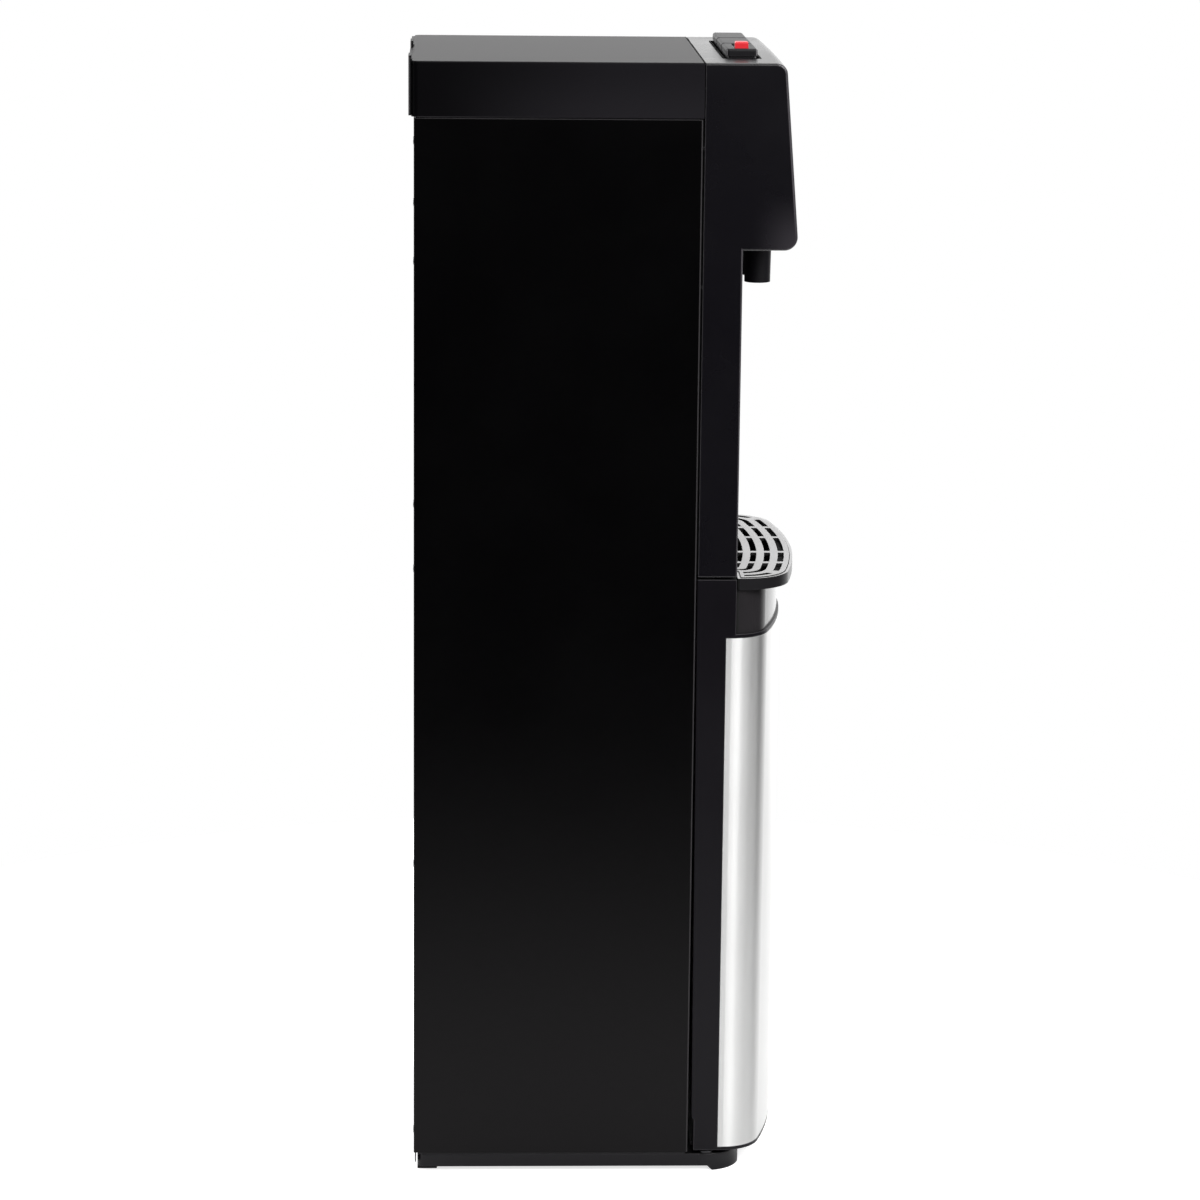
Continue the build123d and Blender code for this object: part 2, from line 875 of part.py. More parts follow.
with BuildPart() as alcove_panel:
    edge_x = cheek_in - fit
    edge_y = y_of(alcove_edge)
    inner_y = y_of(alcove_edge - housing_wall)
    with BuildSketch(Plane.XY.offset(deck_top)):
        with BuildLine():
            ThreePointArc((-edge_x, edge_y), (0, y_of(alcove_mid)), (edge_x, edge_y))
            Line((edge_x, edge_y), (edge_x, inner_y))
            ThreePointArc(
                (edge_x, inner_y),
                (0, y_of(alcove_mid - housing_wall)),
                (-edge_x, inner_y),
            )
            Line((-edge_x, inner_y), (-edge_x, edge_y))
        make_face()
    extrude(amount=hood_bottom - fit - deck_top)
    # ledge behind the drip tray
    with BuildSketch(Plane.XY.offset(deck_top)):
        with BuildLine():
            ThreePointArc((-edge_x, edge_y), (0, y_of(alcove_mid)), (edge_x, edge_y))
            Line((edge_x, edge_y), (-edge_x, edge_y))
        make_face()
    extrude(amount=ledge_t)
alcove_panel.part.label = "alcove_panel"
export_step(alcove_panel.part, "parts/alcove_panel.step")

# ---------------------------------------------------------------- keys
board_z = well_floor - board_drop
clip_top = well_floor - gap
stem_end = board_z + board_t + micro_h + key_travel

with BuildPart() as key_bezel:
    block(-bezel_half, bezel_half, bezel_back, bezel_front, well_floor, total_h + gap)
    block(
        -well_half,
        well_half,
        well_back,
        well_front,
        well_floor + well_wall,
        total_h + past,
        mode=Mode.SUBTRACT,
    )
    key_f = (key_back + key_front) / 2
    for x in key_x:
        for shift in (-stem_spread, stem_spread):
            post(x + shift, key_f, well_floor - past, stem_r + stem_run, 2 * well_wall, mode=Mode.SUBTRACT)
    for side in (-1, 1):
        # posts that carry the switch board, between the keys
        post(side * key_pitch / 2, key_f, board_z + board_t, stem_r, board_drop - board_t)
key_bezel.part.label = "key_bezel"
export_step(key_bezel.part, "parts/key_bezel.step")

for x, use in zip(key_x, uses):
    with BuildPart() as key:
        block(x - key_w / 2, x + key_w / 2, key_back, key_front, total_h + key_lip, key_top)
        block(
            x - key_w / 2 + key_inset,
            x + key_w / 2 - key_inset,
            key_back + key_inset,
            key_front - key_inset,
            key_skirt,
            total_h + key_lip,
        )
        fillet(key.edges().filter_by(Axis.Z), key_corner)
        fillet(key.faces().sort_by(Axis.Z)[-1].edges(), key_round)
        block(
            x - key_w / 2 + key_inset + key_wall,
            x + key_w / 2 - key_inset - key_wall,
            key_back + key_inset + key_wall,
            key_front - key_inset - key_wall,
            key_skirt - past,
            key_top - 2 * key_wall,
            mode=Mode.SUBTRACT,
        )
        for shift in (-stem_spread, stem_spread):
            post(x + shift, key_f, stem_end, stem_r, key_top - key_wall - stem_end)
            post(x + shift, key_f, clip_top - clip_t, clip_r, clip_t)
        if use == "hot":
            # groove of the child lock
            block(
                x - key_w / 2 + lock_margin - gap,
                x + key_w / 2 - lock_margin,
                key_f - groove_w / 2,
                key_f + groove_w / 2,
                key_top - groove_depth,
                key_top + past,
                mode=Mode.SUBTRACT,
            )
    key.part.label = f"key_{use}"
    export_step(key.part, f"parts/key_{use}.step")

with BuildPart() as child_lock:
    lock_x = key_x[0] - key_w / 2 + lock_margin
    block(
        lock_x,
        lock_x + lock_l,
        key_f - lock_w / 2,
        key_f + lock_w / 2,
        key_top - groove_depth + gap,
        key_top + lock_proud,
    )
    fillet(child_lock.faces().sort_by(Axis.Z)[-1].edges(), lock_round)
child_lock.part.label = "child_lock"
export_step(child_lock.part, "parts/child_lock.step")

with BuildPart() as key_switch_board:
    block(-board_half, board_half, key_back, key_front, board_z, board_z + board_t)
    for x in key_x:
        for shift in (-stem_spread, stem_spread):
            block(
                x + shift - micro_l / 2,
                x + shift + micro_l / 2,
                key_f - micro_w / 2,
                key_f + micro_w / 2,
                board_z + board_t,
                board_z + board_t + micro_h - gap,
            )
key_switch_board.part.label = "key_switch_board"
export_step(key_switch_board.part, "parts/key_switch_board.step")

# ---------------------------------------------------------------- nozzles and valves
hood_floor = hood_bottom + housing_wall

for x, use in zip(nozzle_x, uses):
    with BuildPart() as nozzle:
        # shroud, its collar on the hood's floor, and the spout inside
        with BuildSketch(Plane.XZ.offset(-y_of(nozzle_f))):
            with BuildLine():
                Polyline(
                    (x + nozzle_r_end - nozzle_wall, nozzle_end),
                    (x + nozzle_r_end, nozzle_end),
                    (x + nozzle_r_top, hood_bottom - past),
                    (x + nozzle_r_top, hood_floor),
                    (x + collar_r, hood_floor),
                    (x + collar_r, hood_floor + collar_t),
                    (x + spout_r, hood_floor + collar_t),
                    (x + spout_r, valve_bottom),
                    (x + spout_bore, valve_bottom),
                    (x + spout_bore, spout_end),
                    (x + spout_r, spout_end),
                    (x + spout_r, hood_floor - past),
                    (x + nozzle_r_end - nozzle_wall, hood_floor - past),
                    close=True,
                )
            make_face()
        revolve(axis=Axis(at(x, nozzle_f, 0), (0, 0, 1)))
    nozzle.part.label = f"nozzle_{use}"
    export_step(nozzle.part, f"parts/nozzle_{use}.step")

valve_back = nozzle_f - valve_l / 2

with BuildPart() as dispense_valves:
    for x in nozzle_x:
        # body over the spout, coil can above it, inlet stub behind it
        block(
            x - valve_w / 2,
            x + valve_w / 2,
            valve_back,
            valve_back + valve_l,
            valve_bottom,
            valve_bottom + valve_h,
        )
        post(x, nozzle_f, valve_bottom + valve_h - past, valve_coil_r, valve_coil_h + past)
        peg(x, valve_back - valve_port_l, line_z, pipe_r, valve_port_l + past)
        peg(x, valve_back - valve_port_l - past, line_z, pipe_bore, valve_port_l + past, mode=Mode.SUBTRACT)
dispense_valves.part.label = "dispense_valves"
export_step(dispense_valves.part, "parts/dispense_valves.step")

# ---------------------------------------------------------------- door
# plans that are drawn in run further back, so that only their front and sides draw in
far_back = door_back - door_corner
door_outline = bowed_plan(door_back, door_front, door_bow, door_corner)
door_far_outline = bowed_plan(far_back, door_front, door_bow, door_corner, skin_t + fit / 2)
door_far_inner = bowed_plan(far_back, door_front, door_bow, door_corner, skin_t + fit / 2 + frame_wall)
skin_inner = bowed_plan(far_back, door_front, door_bow, door_corner, skin_t)

with BuildPart() as door_skin:
    with BuildSketch(Plane.XY.offset(skin_bottom)):
        add(door_outline)
        add(skin_inner, mode=Mode.SUBTRACT)
        box_plan(-body_w, body_w, door_back - past, skin_back, mode=Mode.SUBTRACT)
    extrude(amount=skin_top - skin_bottom)
door_skin.part.label = "door_skin"
export_step(door_skin.part, "parts/door_skin.step")

stile_front = skin_back - fit
head_front = holder_front - 3 * fit
hinge_boss_in = hinge_x + half_boss

with BuildPart() as door_frame:
    # foot plate and shelf plate, both to the full outline
    for z in (door_bottom, shelf_top - door_plate):
        with BuildSketch(Plane.XY.offset(z)):
            add(door_outline)
        extrude(amount=door_plate)
    # wall behind the steel skin
    with BuildSketch(Plane.XY.offset(door_bottom + past)):
        add(door_far_outline)
        add(door_far_inner, mode=Mode.SUBTRACT)
        box_plan(-body_w, body_w, 0, stile_front - stile_wall, mode=Mode.SUBTRACT)
    extrude(amount=shelf_top - door_bottom - 2)
    for side in (-1, 1):
        # stiles, and the heads beside the tray holder
        block(side * stile_in, side * half_w, door_back, stile_front, door_bottom + past, shelf_top - past)
        block(
            side * (stile_in + stile_wall),
            side * (half_w - stile_wall),
            door_back + 2 * stile_wall,
            stile_front - stile_wall,
            door_bottom + door_plate,
            shelf_top - door_plate,
            mode=Mode.SUBTRACT,
        )
        block(side * head_in, side * half_w, door_back, head_front, shelf_top - past, door_top)
        block(
            side * (head_in + stile_wall),
            side * (half_w - stile_wall),
            door_back + 2 * stile_wall,
            head_front - stile_wall,
            shelf_top,
            door_top - stile_wall,
            mode=Mode.SUBTRACT,
        )
    # bosses for the hinge bushes
    for z in (door_bottom + 1, door_top - hinge_boss_h):
        block(
            -half_w + stile_wall / 2,
            hinge_boss_in,
            hinge_f - half_boss,
            hinge_f + half_boss,
            z,
            z + hinge_boss_h - past,
        )
    post(hinge_x, hinge_f, door_bottom - past, bush_r, bush_l + past, mode=Mode.SUBTRACT)
    post(hinge_x, hinge_f, door_top - bush_l, bush_r, bush_l + past, mode=Mode.SUBTRACT)
    # the rear face leans back towards the top
    with BuildSketch(Plane.YZ):
        with BuildLine():
            Polyline(
                (y_of(door_back) + past, door_bottom - past),
                (y_of(door_back_low), door_bottom - past),
                (y_of(door_back), door_top + past),
                (y_of(door_back) + past, door_top + past),
                close=True,
            )
        make_face()
    extrude(amount=body_w, both=True, mode=Mode.SUBTRACT)
    # relief beside the lower hinge
    with BuildSketch(Plane.YZ.offset(-half_w - past)):
        with BuildLine():
            Polyline(
                (y_of(door_back), door_bottom - past),
                (y_of(door_back_low + notch_depth), door_bottom - past),
                (y_of(door_back_low + notch_depth), notch_top - notch_depth),
                (y_of(door_back_low), notch_top),
                (y_of(door_back), notch_top),
                close=True,
            )
        make_face()
    extrude(amount=half_w - stile_in + past, mode=Mode.SUBTRACT)
    # round the long rear corners
    corners = door_frame.edges().filter_by(lambda e: abs(abs(e.center().X) - half_w) < fit)
    corners = corners.filter_by(lambda e: e.center().Y > y_of(door_back_low) - fit)
    corners = corners.filter_by(lambda e: e.length > shelf_top / 2)
    fillet(corners, door_rear_round)
    # pocket of the strike plate
    strike_back = door_back + strike_t
    block(
        catch_in,
        catch_in + strike_w,
        door_back - past,
        strike_back,
        catch_low,
        catch_low + strike_h,
        mode=Mode.SUBTRACT,
    )
door_frame.part.label = "door_frame"
export_step(door_frame.part, "parts/door_frame.step")

with BuildPart() as strike_plate:
    block(
        catch_in + fit,
        catch_in + strike_w - fit,
        strike_back - strike_t / 2,
        strike_back,
        catch_low + fit,
        catch_low + strike_h - fit,
    )
strike_plate.part.label = "strike_plate"
export_step(strike_plate.part, "parts/strike_plate.step")

with BuildPart() as door_bushes:
    for z in (door_bottom, door_top - bush_l):
        post(hinge_x, hinge_f, z, bush_r - fit / 4, bush_l)
        post(hinge_x, hinge_f, z - past, pin_r + pin_run, bush_l + 2, mode=Mode.SUBTRACT)
door_bushes.part.label = "door_bushes"
export_step(door_bushes.part, "parts/door_bushes.step")

with BuildPart() as hinge_hardware:
    # bracket on the base with the lower pin, and the loose upper pin
    block(bracket_side, bracket_in, bracket_back, bracket_front, base_top, base_top + bracket_t)
    fillet(hinge_hardware.edges().filter_by(Axis.Z), bracket_round)
    post(hinge_x, hinge_f, base_top + past, pin_r, bracket_t - 1 + pin_l)
    upper_pin_low = door_top - bush_l + upper_pin_end
    upper_pin_high = housing_bottom + upper_pin_grip - upper_pin_end
    post(hinge_x, hinge_f, upper_pin_low, pin_r, upper_pin_high - upper_pin_low)
hinge_hardware.part.label = "hinge_hardware"
export_step(hinge_hardware.part, "parts/hinge_hardware.step")

with BuildPart() as magnet_catch:
    block(
        catch_in,
        catch_in + strike_w,
        deck_front,
        strike_back - strike_t / 2 - catch_gap,
        catch_low + 2,
        catch_low + strike_h - 2,
    )
magnet_catch.part.label = "magnet_catch"
export_step(magnet_catch.part, "parts/magnet_catch.step")

# ---------------------------------------------------------------- tray holder, tray and grille
with BuildSketch(mode=Mode.PRIVATE) as holder_plan:
    add(bowed_plan(far_back, door_front, door_bow, door_corner, holder_inset))
    box_plan(-body_w, body_w, 0, holder_front, mode=Mode.SUBTRACT)
    box_plan(-holder_rear_half, holder_rear_half, holder_back, holder_front + past)

with BuildSketch(mode=Mode.PRIVATE) as holder_inside:
    add(holder_plan.sketch)
    offset(amount=-holder_wall)

with BuildPart() as tray_holder:
    with BuildSketch(Plane.XY.offset(shelf_top)):
        add(holder_plan.sketch)
    extrude(amount=holder_top - shelf_top)
    with BuildSketch(Plane.XY.offset(shelf_top + holder_wall)):
        add(holder_inside.sketch)
    extrude(amount=holder_top - shelf_top, mode=Mode.SUBTRACT)
tray_holder.part.label = "tray_holder"
export_step(tray_holder.part, "parts/tray_holder.step")

tray_wide_back = holder_front + grille_gap + fit

with BuildSketch(mode=Mode.PRIVATE) as tray_plan:
    add(bowed_plan(tray_wide_back, tray_reach, tray_bow, tray_corner))
    box_plan(-tray_rear_half, tray_rear_half, tray_back, tray_wide_back + past)

with BuildPart() as drip_tray:
    with BuildSketch(Plane.XY.offset(tray_low)):
        add(tray_plan.sketch)
    extrude(amount=tray_top - tray_low)
    with BuildSketch(Plane.XY.offset(basin_bottom)) as basin_plan:
        add(holder_inside.sketch)
        offset(amount=-basin_gap)
    extrude(amount=tray_low - basin_bottom + past)
    with BuildSketch(Plane.XY.offset(basin_bottom + basin_wall)):
        add(holder_inside.sketch)
        offset(amount=-basin_gap - basin_wall)
    extrude(amount=tray_top - basin_bottom, mode=Mode.SUBTRACT)
    # recess of the grille
    with BuildSketch(Plane.XY.offset(grille_top - grille_t - gap)):
        add(tray_plan.sketch)
        offset(amount=-rim_w)
    extrude(amount=tray_top, mode=Mode.SUBTRACT)
drip_tray.part.label = "drip_tray"
export_step(drip_tray.part, "parts/drip_tray.step")

with BuildPart() as drip_grille:
    with BuildSketch(Plane.XY.offset(grille_top - grille_t)):
        add(tray_plan.sketch)
        offset(amount=-rim_w - grille_gap)
    extrude(amount=grille_t)
    with BuildSketch(Plane.XY.offset(grille_top - grille_t - past)) as slots:
        corner_y = y_of(tray_reach - tray_bow - tray_corner)
        for ring in range(slot_rings):
            inset = slot_first + ring * slot_pitch
            add(bowed_plan(0, tray_reach, tray_bow, tray_corner, inset))
            add(bowed_plan(0, tray_reach, tray_bow, tray_corner, inset + slot_w), mode=Mode.SUBTRACT)
            if ring == 0:
                # only the outer ring is broken at the corners
                for side in (-1, 1):
                    turn = side * corner_bar_turn
                    with Locations((side * (half_w - tray_corner), corner_y)):
                        Rectangle(corner_bar, 2 * tray_corner, rotation=turn, mode=Mode.SUBTRACT)
        for x in bar_x:
            for side in (-1, 1):
                box_plan(side * x - bar_w / 2, side * x + bar_w / 2, 0, tray_reach, mode=Mode.SUBTRACT)
        with BuildSketch(mode=Mode.PRIVATE) as field:
            add(tray_plan.sketch)
            offset(amount=-rim_w - grille_gap - slot_margin)
        add(field.sketch, mode=Mode.INTERSECT)
    extrude(amount=grille_t + 2, mode=Mode.SUBTRACT)
drip_grille.part.label = "drip_grille"
export_step(drip_grille.part, "parts/drip_grille.step")

# ---------------------------------------------------------------- decks
deck_half = half_w - panel_t - fit
shelf_top_z = tank_shelf_z + deck_t

with BuildPart() as shelf_deck:
    block(-deck_half, deck_half, deck_rear, deck_front, deck_z, deck_top)
    block(-deck_half, deck_half, deck_front - deck_t, deck_front, deck_z - deck_lip, deck_z)
    for side in (-1, 1):
        lip_x = side * (deck_half - deck_t)
        block(side * deck_half, lip_x, deck_rear, deck_front, deck_z - deck_lip, deck_z)
    # the probe's hose passes here
    post(pump_x, pump_f, deck_z - past, hose_r + gap, deck_t + 2 * past, mode=Mode.SUBTRACT)
shelf_deck.part.label = "shelf_deck"
export_step(shelf_deck.part, "parts/shelf_deck.step")

with BuildPart() as tank_shelf:
    block(-deck_half, deck_half, tank_shelf_rear, tank_shelf_front, tank_shelf_z, shelf_top_z)
    for side in (-1, 1):
        block(
            side * deck_half,
            side * (deck_half - deck_t),
            tank_shelf_rear,
            tank_shelf_front,
            tank_shelf_z - deck_lip,
            tank_shelf_z,
        )
        # opening for the tubes
        block(
            side * shelf_notch_in,
            side * (deck_half - shelf_notch_end),
            tank_shelf_rear + shelf_notch_end,
            tank_shelf_front - shelf_notch_end,
            tank_shelf_z - past,
            shelf_top_z + past,
            mode=Mode.SUBTRACT,
        )
tank_shelf.part.label = "tank_shelf"
export_step(tank_shelf.part, "parts/tank_shelf.step")

# ---------------------------------------------------------------- cold tank
tank_low = shelf_top_z + foam_floor
tank_high = tank_low + tank_h
foam_h = foam_floor + tank_h + foam_cover
foam_top = shelf_top_z + foam_h
inlet_end = tank_high + port_rise
outlet_end = foam_front + port_reach
cold_x = nozzle_x[2]
suction_x = comp_x - stub_spread
discharge_x = comp_x + stub_spread
suction_z = line_z - line_rise - pipe_r

with BuildPart() as cold_tank:
    post(0, tank_f, tank_low, tank_r, tank_h)
    peg(cold_x, tank_f, line_z, pipe_r, outlet_end - tank_f)
    post(0, tank_f, tank_high - past, pipe_r, port_rise + past)
    hollow_h = tank_h - 2 * tank_wall
    post(0, tank_f, tank_low + tank_wall, tank_r - tank_wall, hollow_h, mode=Mode.SUBTRACT)
    peg(cold_x, tank_f, line_z, pipe_bore, outlet_end - tank_f + past, mode=Mode.SUBTRACT)
    post(0, tank_f, tank_high - 2 * tank_wall, pipe_bore, port_rise + 3 * tank_wall, mode=Mode.SUBTRACT)
cold_tank.part.label = "cold_tank"
export_step(cold_tank.part, "parts/cold_tank.step")

with BuildPart() as evaporator_coil:
    coil_mid = tank_r + coil_gap + coil_r
    with BuildLine(Plane(origin=at(0, tank_f, tank_low + coil_lift))) as winding:
        Helix(coil_pitch, coil_pitch * coil_turns, coil_mid)
    with BuildSketch(Plane(origin=winding.line @ 0, z_dir=winding.line % 0)):
        Circle(coil_r)
    sweep(path=winding.line, is_frenet=True)
evaporator_coil.part.label = "evaporator_coil"
export_step(evaporator_coil.part, "parts/evaporator_coil.step")

with BuildPart() as tank_insulation:
    block(-foam_half, foam_half, foam_back, foam_front, shelf_top_z, foam_top)
    post(0, tank_f, tank_low, foam_bore, foam_h, mode=Mode.SUBTRACT)
    peg(cold_x, tank_f, line_z, pipe_r + fit, foam_front, mode=Mode.SUBTRACT)
    for x, radius in ((suction_x, stub_r), (-suction_x, capillary_r)):
        peg(x, foam_back - past, suction_z, radius + fit, tank_f - foam_back, mode=Mode.SUBTRACT)
tank_insulation.part.label = "tank_insulation"
export_step(tank_insulation.part, "parts/tank_insulation.step")

with BuildPart() as insulation_lid:
    block(-foam_half, foam_half, foam_back, foam_front, foam_top, foam_top + foam_lid_h)
    post(0, tank_f, foam_top - past, pipe_r + fit, foam_lid_h + 2 * past, mode=Mode.SUBTRACT)
insulation_lid.part.label = "insulation_lid"
export_step(insulation_lid.part, "parts/insulation_lid.step")

# ---------------------------------------------------------------- hot tank
hot_top = hot_bottom + hot_h
feed_z = deck_top + feed_rise
feed_end = hot_f + jacket_r + feed_reach
drain_end = rear_panel_f + drain_seat

with BuildPart() as hot_tank:
    post(hot_x, hot_f, hot_bottom, hot_r, hot_h)
    with Locations(at(hot_x, hot_f, deck_top)):
        with PolarLocations(leg_spread, leg_count):
            Cylinder(leg_r, hot_bottom - deck_top + past, align=(Align.CENTER, Align.CENTER, Align.MIN))
    post(hot_x, hot_f, hot_top - past, pipe_r, port_l + past)
    peg(hot_x, hot_f, feed_z, pipe_r, feed_end - hot_f)
    # drain, down from the bottom and out to the rear
    add(
        pipe(
            (
                at(hot_x, hot_f, hot_bottom + past),
                at(hot_x, hot_f, drain_z),
                at(hot_x, drain_end, drain_z),
            ),
            bend_r,
            pipe_r,
        )
    )
    hollow_h = hot_h - 2 * hot_wall
    post(hot_x, hot_f, hot_bottom + hot_wall, hot_r - hot_wall, hollow_h, mode=Mode.SUBTRACT)
    post(hot_x, hot_f, hot_top - 2 * hot_wall, pipe_bore, port_l + 3 * hot_wall, mode=Mode.SUBTRACT)
    peg(hot_x, hot_f, feed_z, pipe_bore, feed_end - hot_f + past, mode=Mode.SUBTRACT)
hot_tank.part.label = "hot_tank"
export_step(hot_tank.part, "parts/hot_tank.step")

with BuildPart() as band_heater:
    post(hot_x, hot_f, heater_low, hot_r + fit + heater_t, heater_h)
    post(hot_x, hot_f, heater_low - past, hot_r + fit, heater_h + 2 * past, mode=Mode.SUBTRACT)
band_heater.part.label = "band_heater"
export_step(band_heater.part, "parts/band_heater.step")

with BuildPart() as hot_tank_jacket:
    post(hot_x, hot_f, hot_bottom + jacket_end, jacket_r, hot_h - 2 * jacket_end)
    post(hot_x, hot_f, hot_bottom, hot_r + heater_t + 2 * fit, hot_h, mode=Mode.SUBTRACT)
    peg(hot_x, hot_f, feed_z, pipe_r + fit, 2 * jacket_r, mode=Mode.SUBTRACT)
hot_tank_jacket.part.label = "hot_tank_jacket"
export_step(hot_tank_jacket.part, "parts/hot_tank_jacket.step")

with BuildPart() as drain_cap:
    peg(hot_x, rear_panel_f - fit, drain_z, drain_cap_r, drain_cap_l)
    bore_f = rear_panel_f + drain_cap_end
    peg(hot_x, bore_f, drain_z, pipe_r + stem_run, drain_cap_l, mode=Mode.SUBTRACT)
drain_cap.part.label = "drain_cap"
export_step(drain_cap.part, "parts/drain_cap.step")

# ---------------------------------------------------------------- compressor and condenser
comp_top = comp_bottom + comp_h
stub_top = comp_top + stub_l

with BuildPart() as compressor:
    # domed can on its foot plate
    post(comp_x, comp_f, comp_bottom, comp_r, comp_h)
    fillet(compressor.edges().filter_by(GeomType.CIRCLE), comp_dome)
    block(
        comp_x - comp_plate_half_x,
        comp_x + comp_plate_half_x,
        comp_f - comp_plate_half_f,
        comp_f + comp_plate_half_f,
        comp_bottom - comp_plate_t,
        comp_bottom + past,
    )
    fillet(compressor.edges().filter_by(Axis.Z), mount_r)
    for x in (suction_x, discharge_x):
        post(x, comp_f, comp_top - comp_dome / 2, stub_r, comp_dome / 2 + stub_l)
compressor.part.label = "compressor"
export_step(compressor.part, "parts/compressor.step")

with BuildPart() as compressor_mounts:
    mount_h = comp_bottom - comp_plate_t - deck_top
    for x in (comp_x - mount_spread_x, comp_x + mount_spread_x):
        for forward in (comp_f - mount_spread_f, comp_f + mount_spread_f):
            post(x, forward, deck_top, mount_r, mount_h)
compressor_mounts.part.label = "compressor_mounts"
export_step(compressor_mounts.part, "parts/compressor_mounts.step")

cond_high = cond_low + (cond_rows - 1) * cond_pitch
cond_side = cond_half + cond_pitch / 2
cond_end = cond_half + cond_stub
cond_route = [at(-cond_end, cond_f, cond_low)]
for row in range(cond_rows - 1):
    turn_x = cond_side if row % 2 == 0 else -cond_side
    row_z = cond_low + row * cond_pitch
    cond_route.append(at(turn_x, cond_f, row_z))
    cond_route.append(at(turn_x, cond_f, row_z + cond_pitch))
cond_route.append(at(cond_end, cond_f, cond_high))

with BuildPart() as condenser_tube:
    add(pipe(cond_route, cond_bend, cond_r))
condenser_tube.part.label = "condenser_tube"
export_step(condenser_tube.part, "parts/condenser_tube.step")

with BuildPart() as condenser_wires:
    wire_f = cond_f - cond_r - wire_r - fit / 2
    wire_h = cond_high - cond_low + 2 * wire_over
    for step in range(wire_count):
        wire_x = (step - (wire_count - 1) / 2) * wire_pitch
        post(wire_x, wire_f, cond_low - wire_over, wire_r, wire_h)
condenser_wires.part.label = "condenser_wires"
export_step(condenser_wires.part, "parts/condenser_wires.step")

with BuildPart() as condenser_brackets:
    strip_f = rear_panel_f + strip_t
    strip_low = cond_low - strip_over
    strip_high = cond_high + strip_over
    for side in (-1, 1):
        block(side * strip_in, side * strip_out, rear_panel_f, strip_f, strip_low, strip_high)
        for row in range(0, cond_rows, 2):
            # tab that meets every second run of the condenser
            row_z = cond_low + row * cond_pitch
            tab_x = side * (strip_in + strip_tab)
            tab_f = cond_f - cond_r - fit / 2
            block(side * strip_in, tab_x, strip_f, tab_f, row_z - strip_tab, row_z + strip_tab)
        for z in rear_screw_z:
            peg(side * screw_x, rear_panel_f - past, z, screw_r + fit, strip_t + 2 * past, mode=Mode.SUBTRACT)
condenser_brackets.part.label = "condenser_brackets"
export_step(condenser_brackets.part, "parts/condenser_brackets.step")

drier_high = drier_low + drier_l

with BuildPart() as filter_drier:
    with BuildSketch(Plane.XZ.offset(-y_of(drier_f))):
        with BuildLine():
            Polyline(
                (drier_x, drier_low),
                (drier_x + cond_r, drier_low),
                (drier_x + drier_r, drier_low + drier_neck),
                (drier_x + drier_r, drier_high - drier_neck),
                (drier_x + cond_r, drier_high),
                (drier_x, drier_high),
                close=True,
            )
        make_face()
    revolve(axis=Axis(at(drier_x, drier_f, 0), (0, 0, 1)))
filter_drier.part.label = "filter_drier"
export_step(filter_drier.part, "parts/filter_drier.step")

back_f = foam_back - line_back
side_x = cond_end + line_back
discharge_route = (
    at(cond_end, cond_f, cond_high),
    at(side_x, cond_f, cond_high),
    at(side_x, cond_f + line_step, cond_high - line_back),
    at(side_x, cond_f + line_step, stub_top + line_rise + cond_r),
    at(discharge_x, comp_f, stub_top + line_rise),
    at(discharge_x, comp_f, stub_top),
)
suction_route = (
    at(suction_x, foam_back + line_rise, suction_z),
    at(suction_x, back_f, suction_z),
    at(suction_x, back_f, stub_top + line_rise + cond_r),
    at(suction_x, comp_f, stub_top + line_rise),
    at(suction_x, comp_f, stub_top),
)
drier_route = (
    at(-cond_end, cond_f, cond_low),
    at(drier_x, cond_f, cond_low),
    at(drier_x, drier_f, cond_low),
    at(drier_x, drier_f, drier_low),
)
capillary_route = (
    at(drier_x, drier_f, drier_high),
    at(drier_x, drier_f, drier_high + line_rise),
    at(-suction_x, back_f, suction_z - line_rise),
    at(-suction_x, back_f, suction_z),
    at(-suction_x, foam_back + line_rise, suction_z),
)

with BuildPart() as refrigerant_tubes:
    add(pipe(discharge_route, bend_r, cond_r))
    add(pipe(suction_route, bend_r, stub_r))
    add(pipe(drier_route, (drier_f - cond_f) / 2 - fit, cond_r))
    add(pipe(capillary_route, bend_r, capillary_r))
refrigerant_tubes.part.label = "refrigerant_tubes"
export_step(refrigerant_tubes.part, "parts/refrigerant_tubes.step")

# ---------------------------------------------------------------- pump and water lines
pump_low = deck_top + pump_foot
pump_top = pump_low + pump_h
side_port_z = deck_top + side_port_rise
valve_line_f = valve_back - valve_port_l

with BuildPart() as pump:
    # body on two feet, motor above it, outlets on both sides, inlet below, hot feed behind
    back = pump_f - pump_half
    front = pump_f + pump_half
    block(pump_x - pump_half, pump_x + pump_half, back, front, pump_low, pump_top)
    fillet(pump.edges().filter_by(Axis.Z), pump_round)
    post(pump_x, pump_f, pump_top - past, motor_r, motor_l + past)
    for side in (-1, 1):
        foot_x = pump_x + side * pump_half
        foot_in = foot_x - side * pump_foot_w
        block(foot_x, foot_in, back + pump_foot_w, front - pump_foot_w, deck_top, pump_low + past)
        with Locations(at(foot_x - side * past, pump_f, side_port_z)):
            Cylinder(
                pipe_r,
                port_reach + past,
                rotation=(0, side * 90, 0),
                align=(Align.CENTER, Align.CENTER, Align.MIN),
            )
    post(pump_x, pump_f, pump_low - pump_stub, hose_r, pump_stub + past)
    peg(pump_x, feed_end, feed_z, pipe_r, back - feed_end + past)
pump.part.label = "pump"
export_step(pump.part, "parts/pump.step")

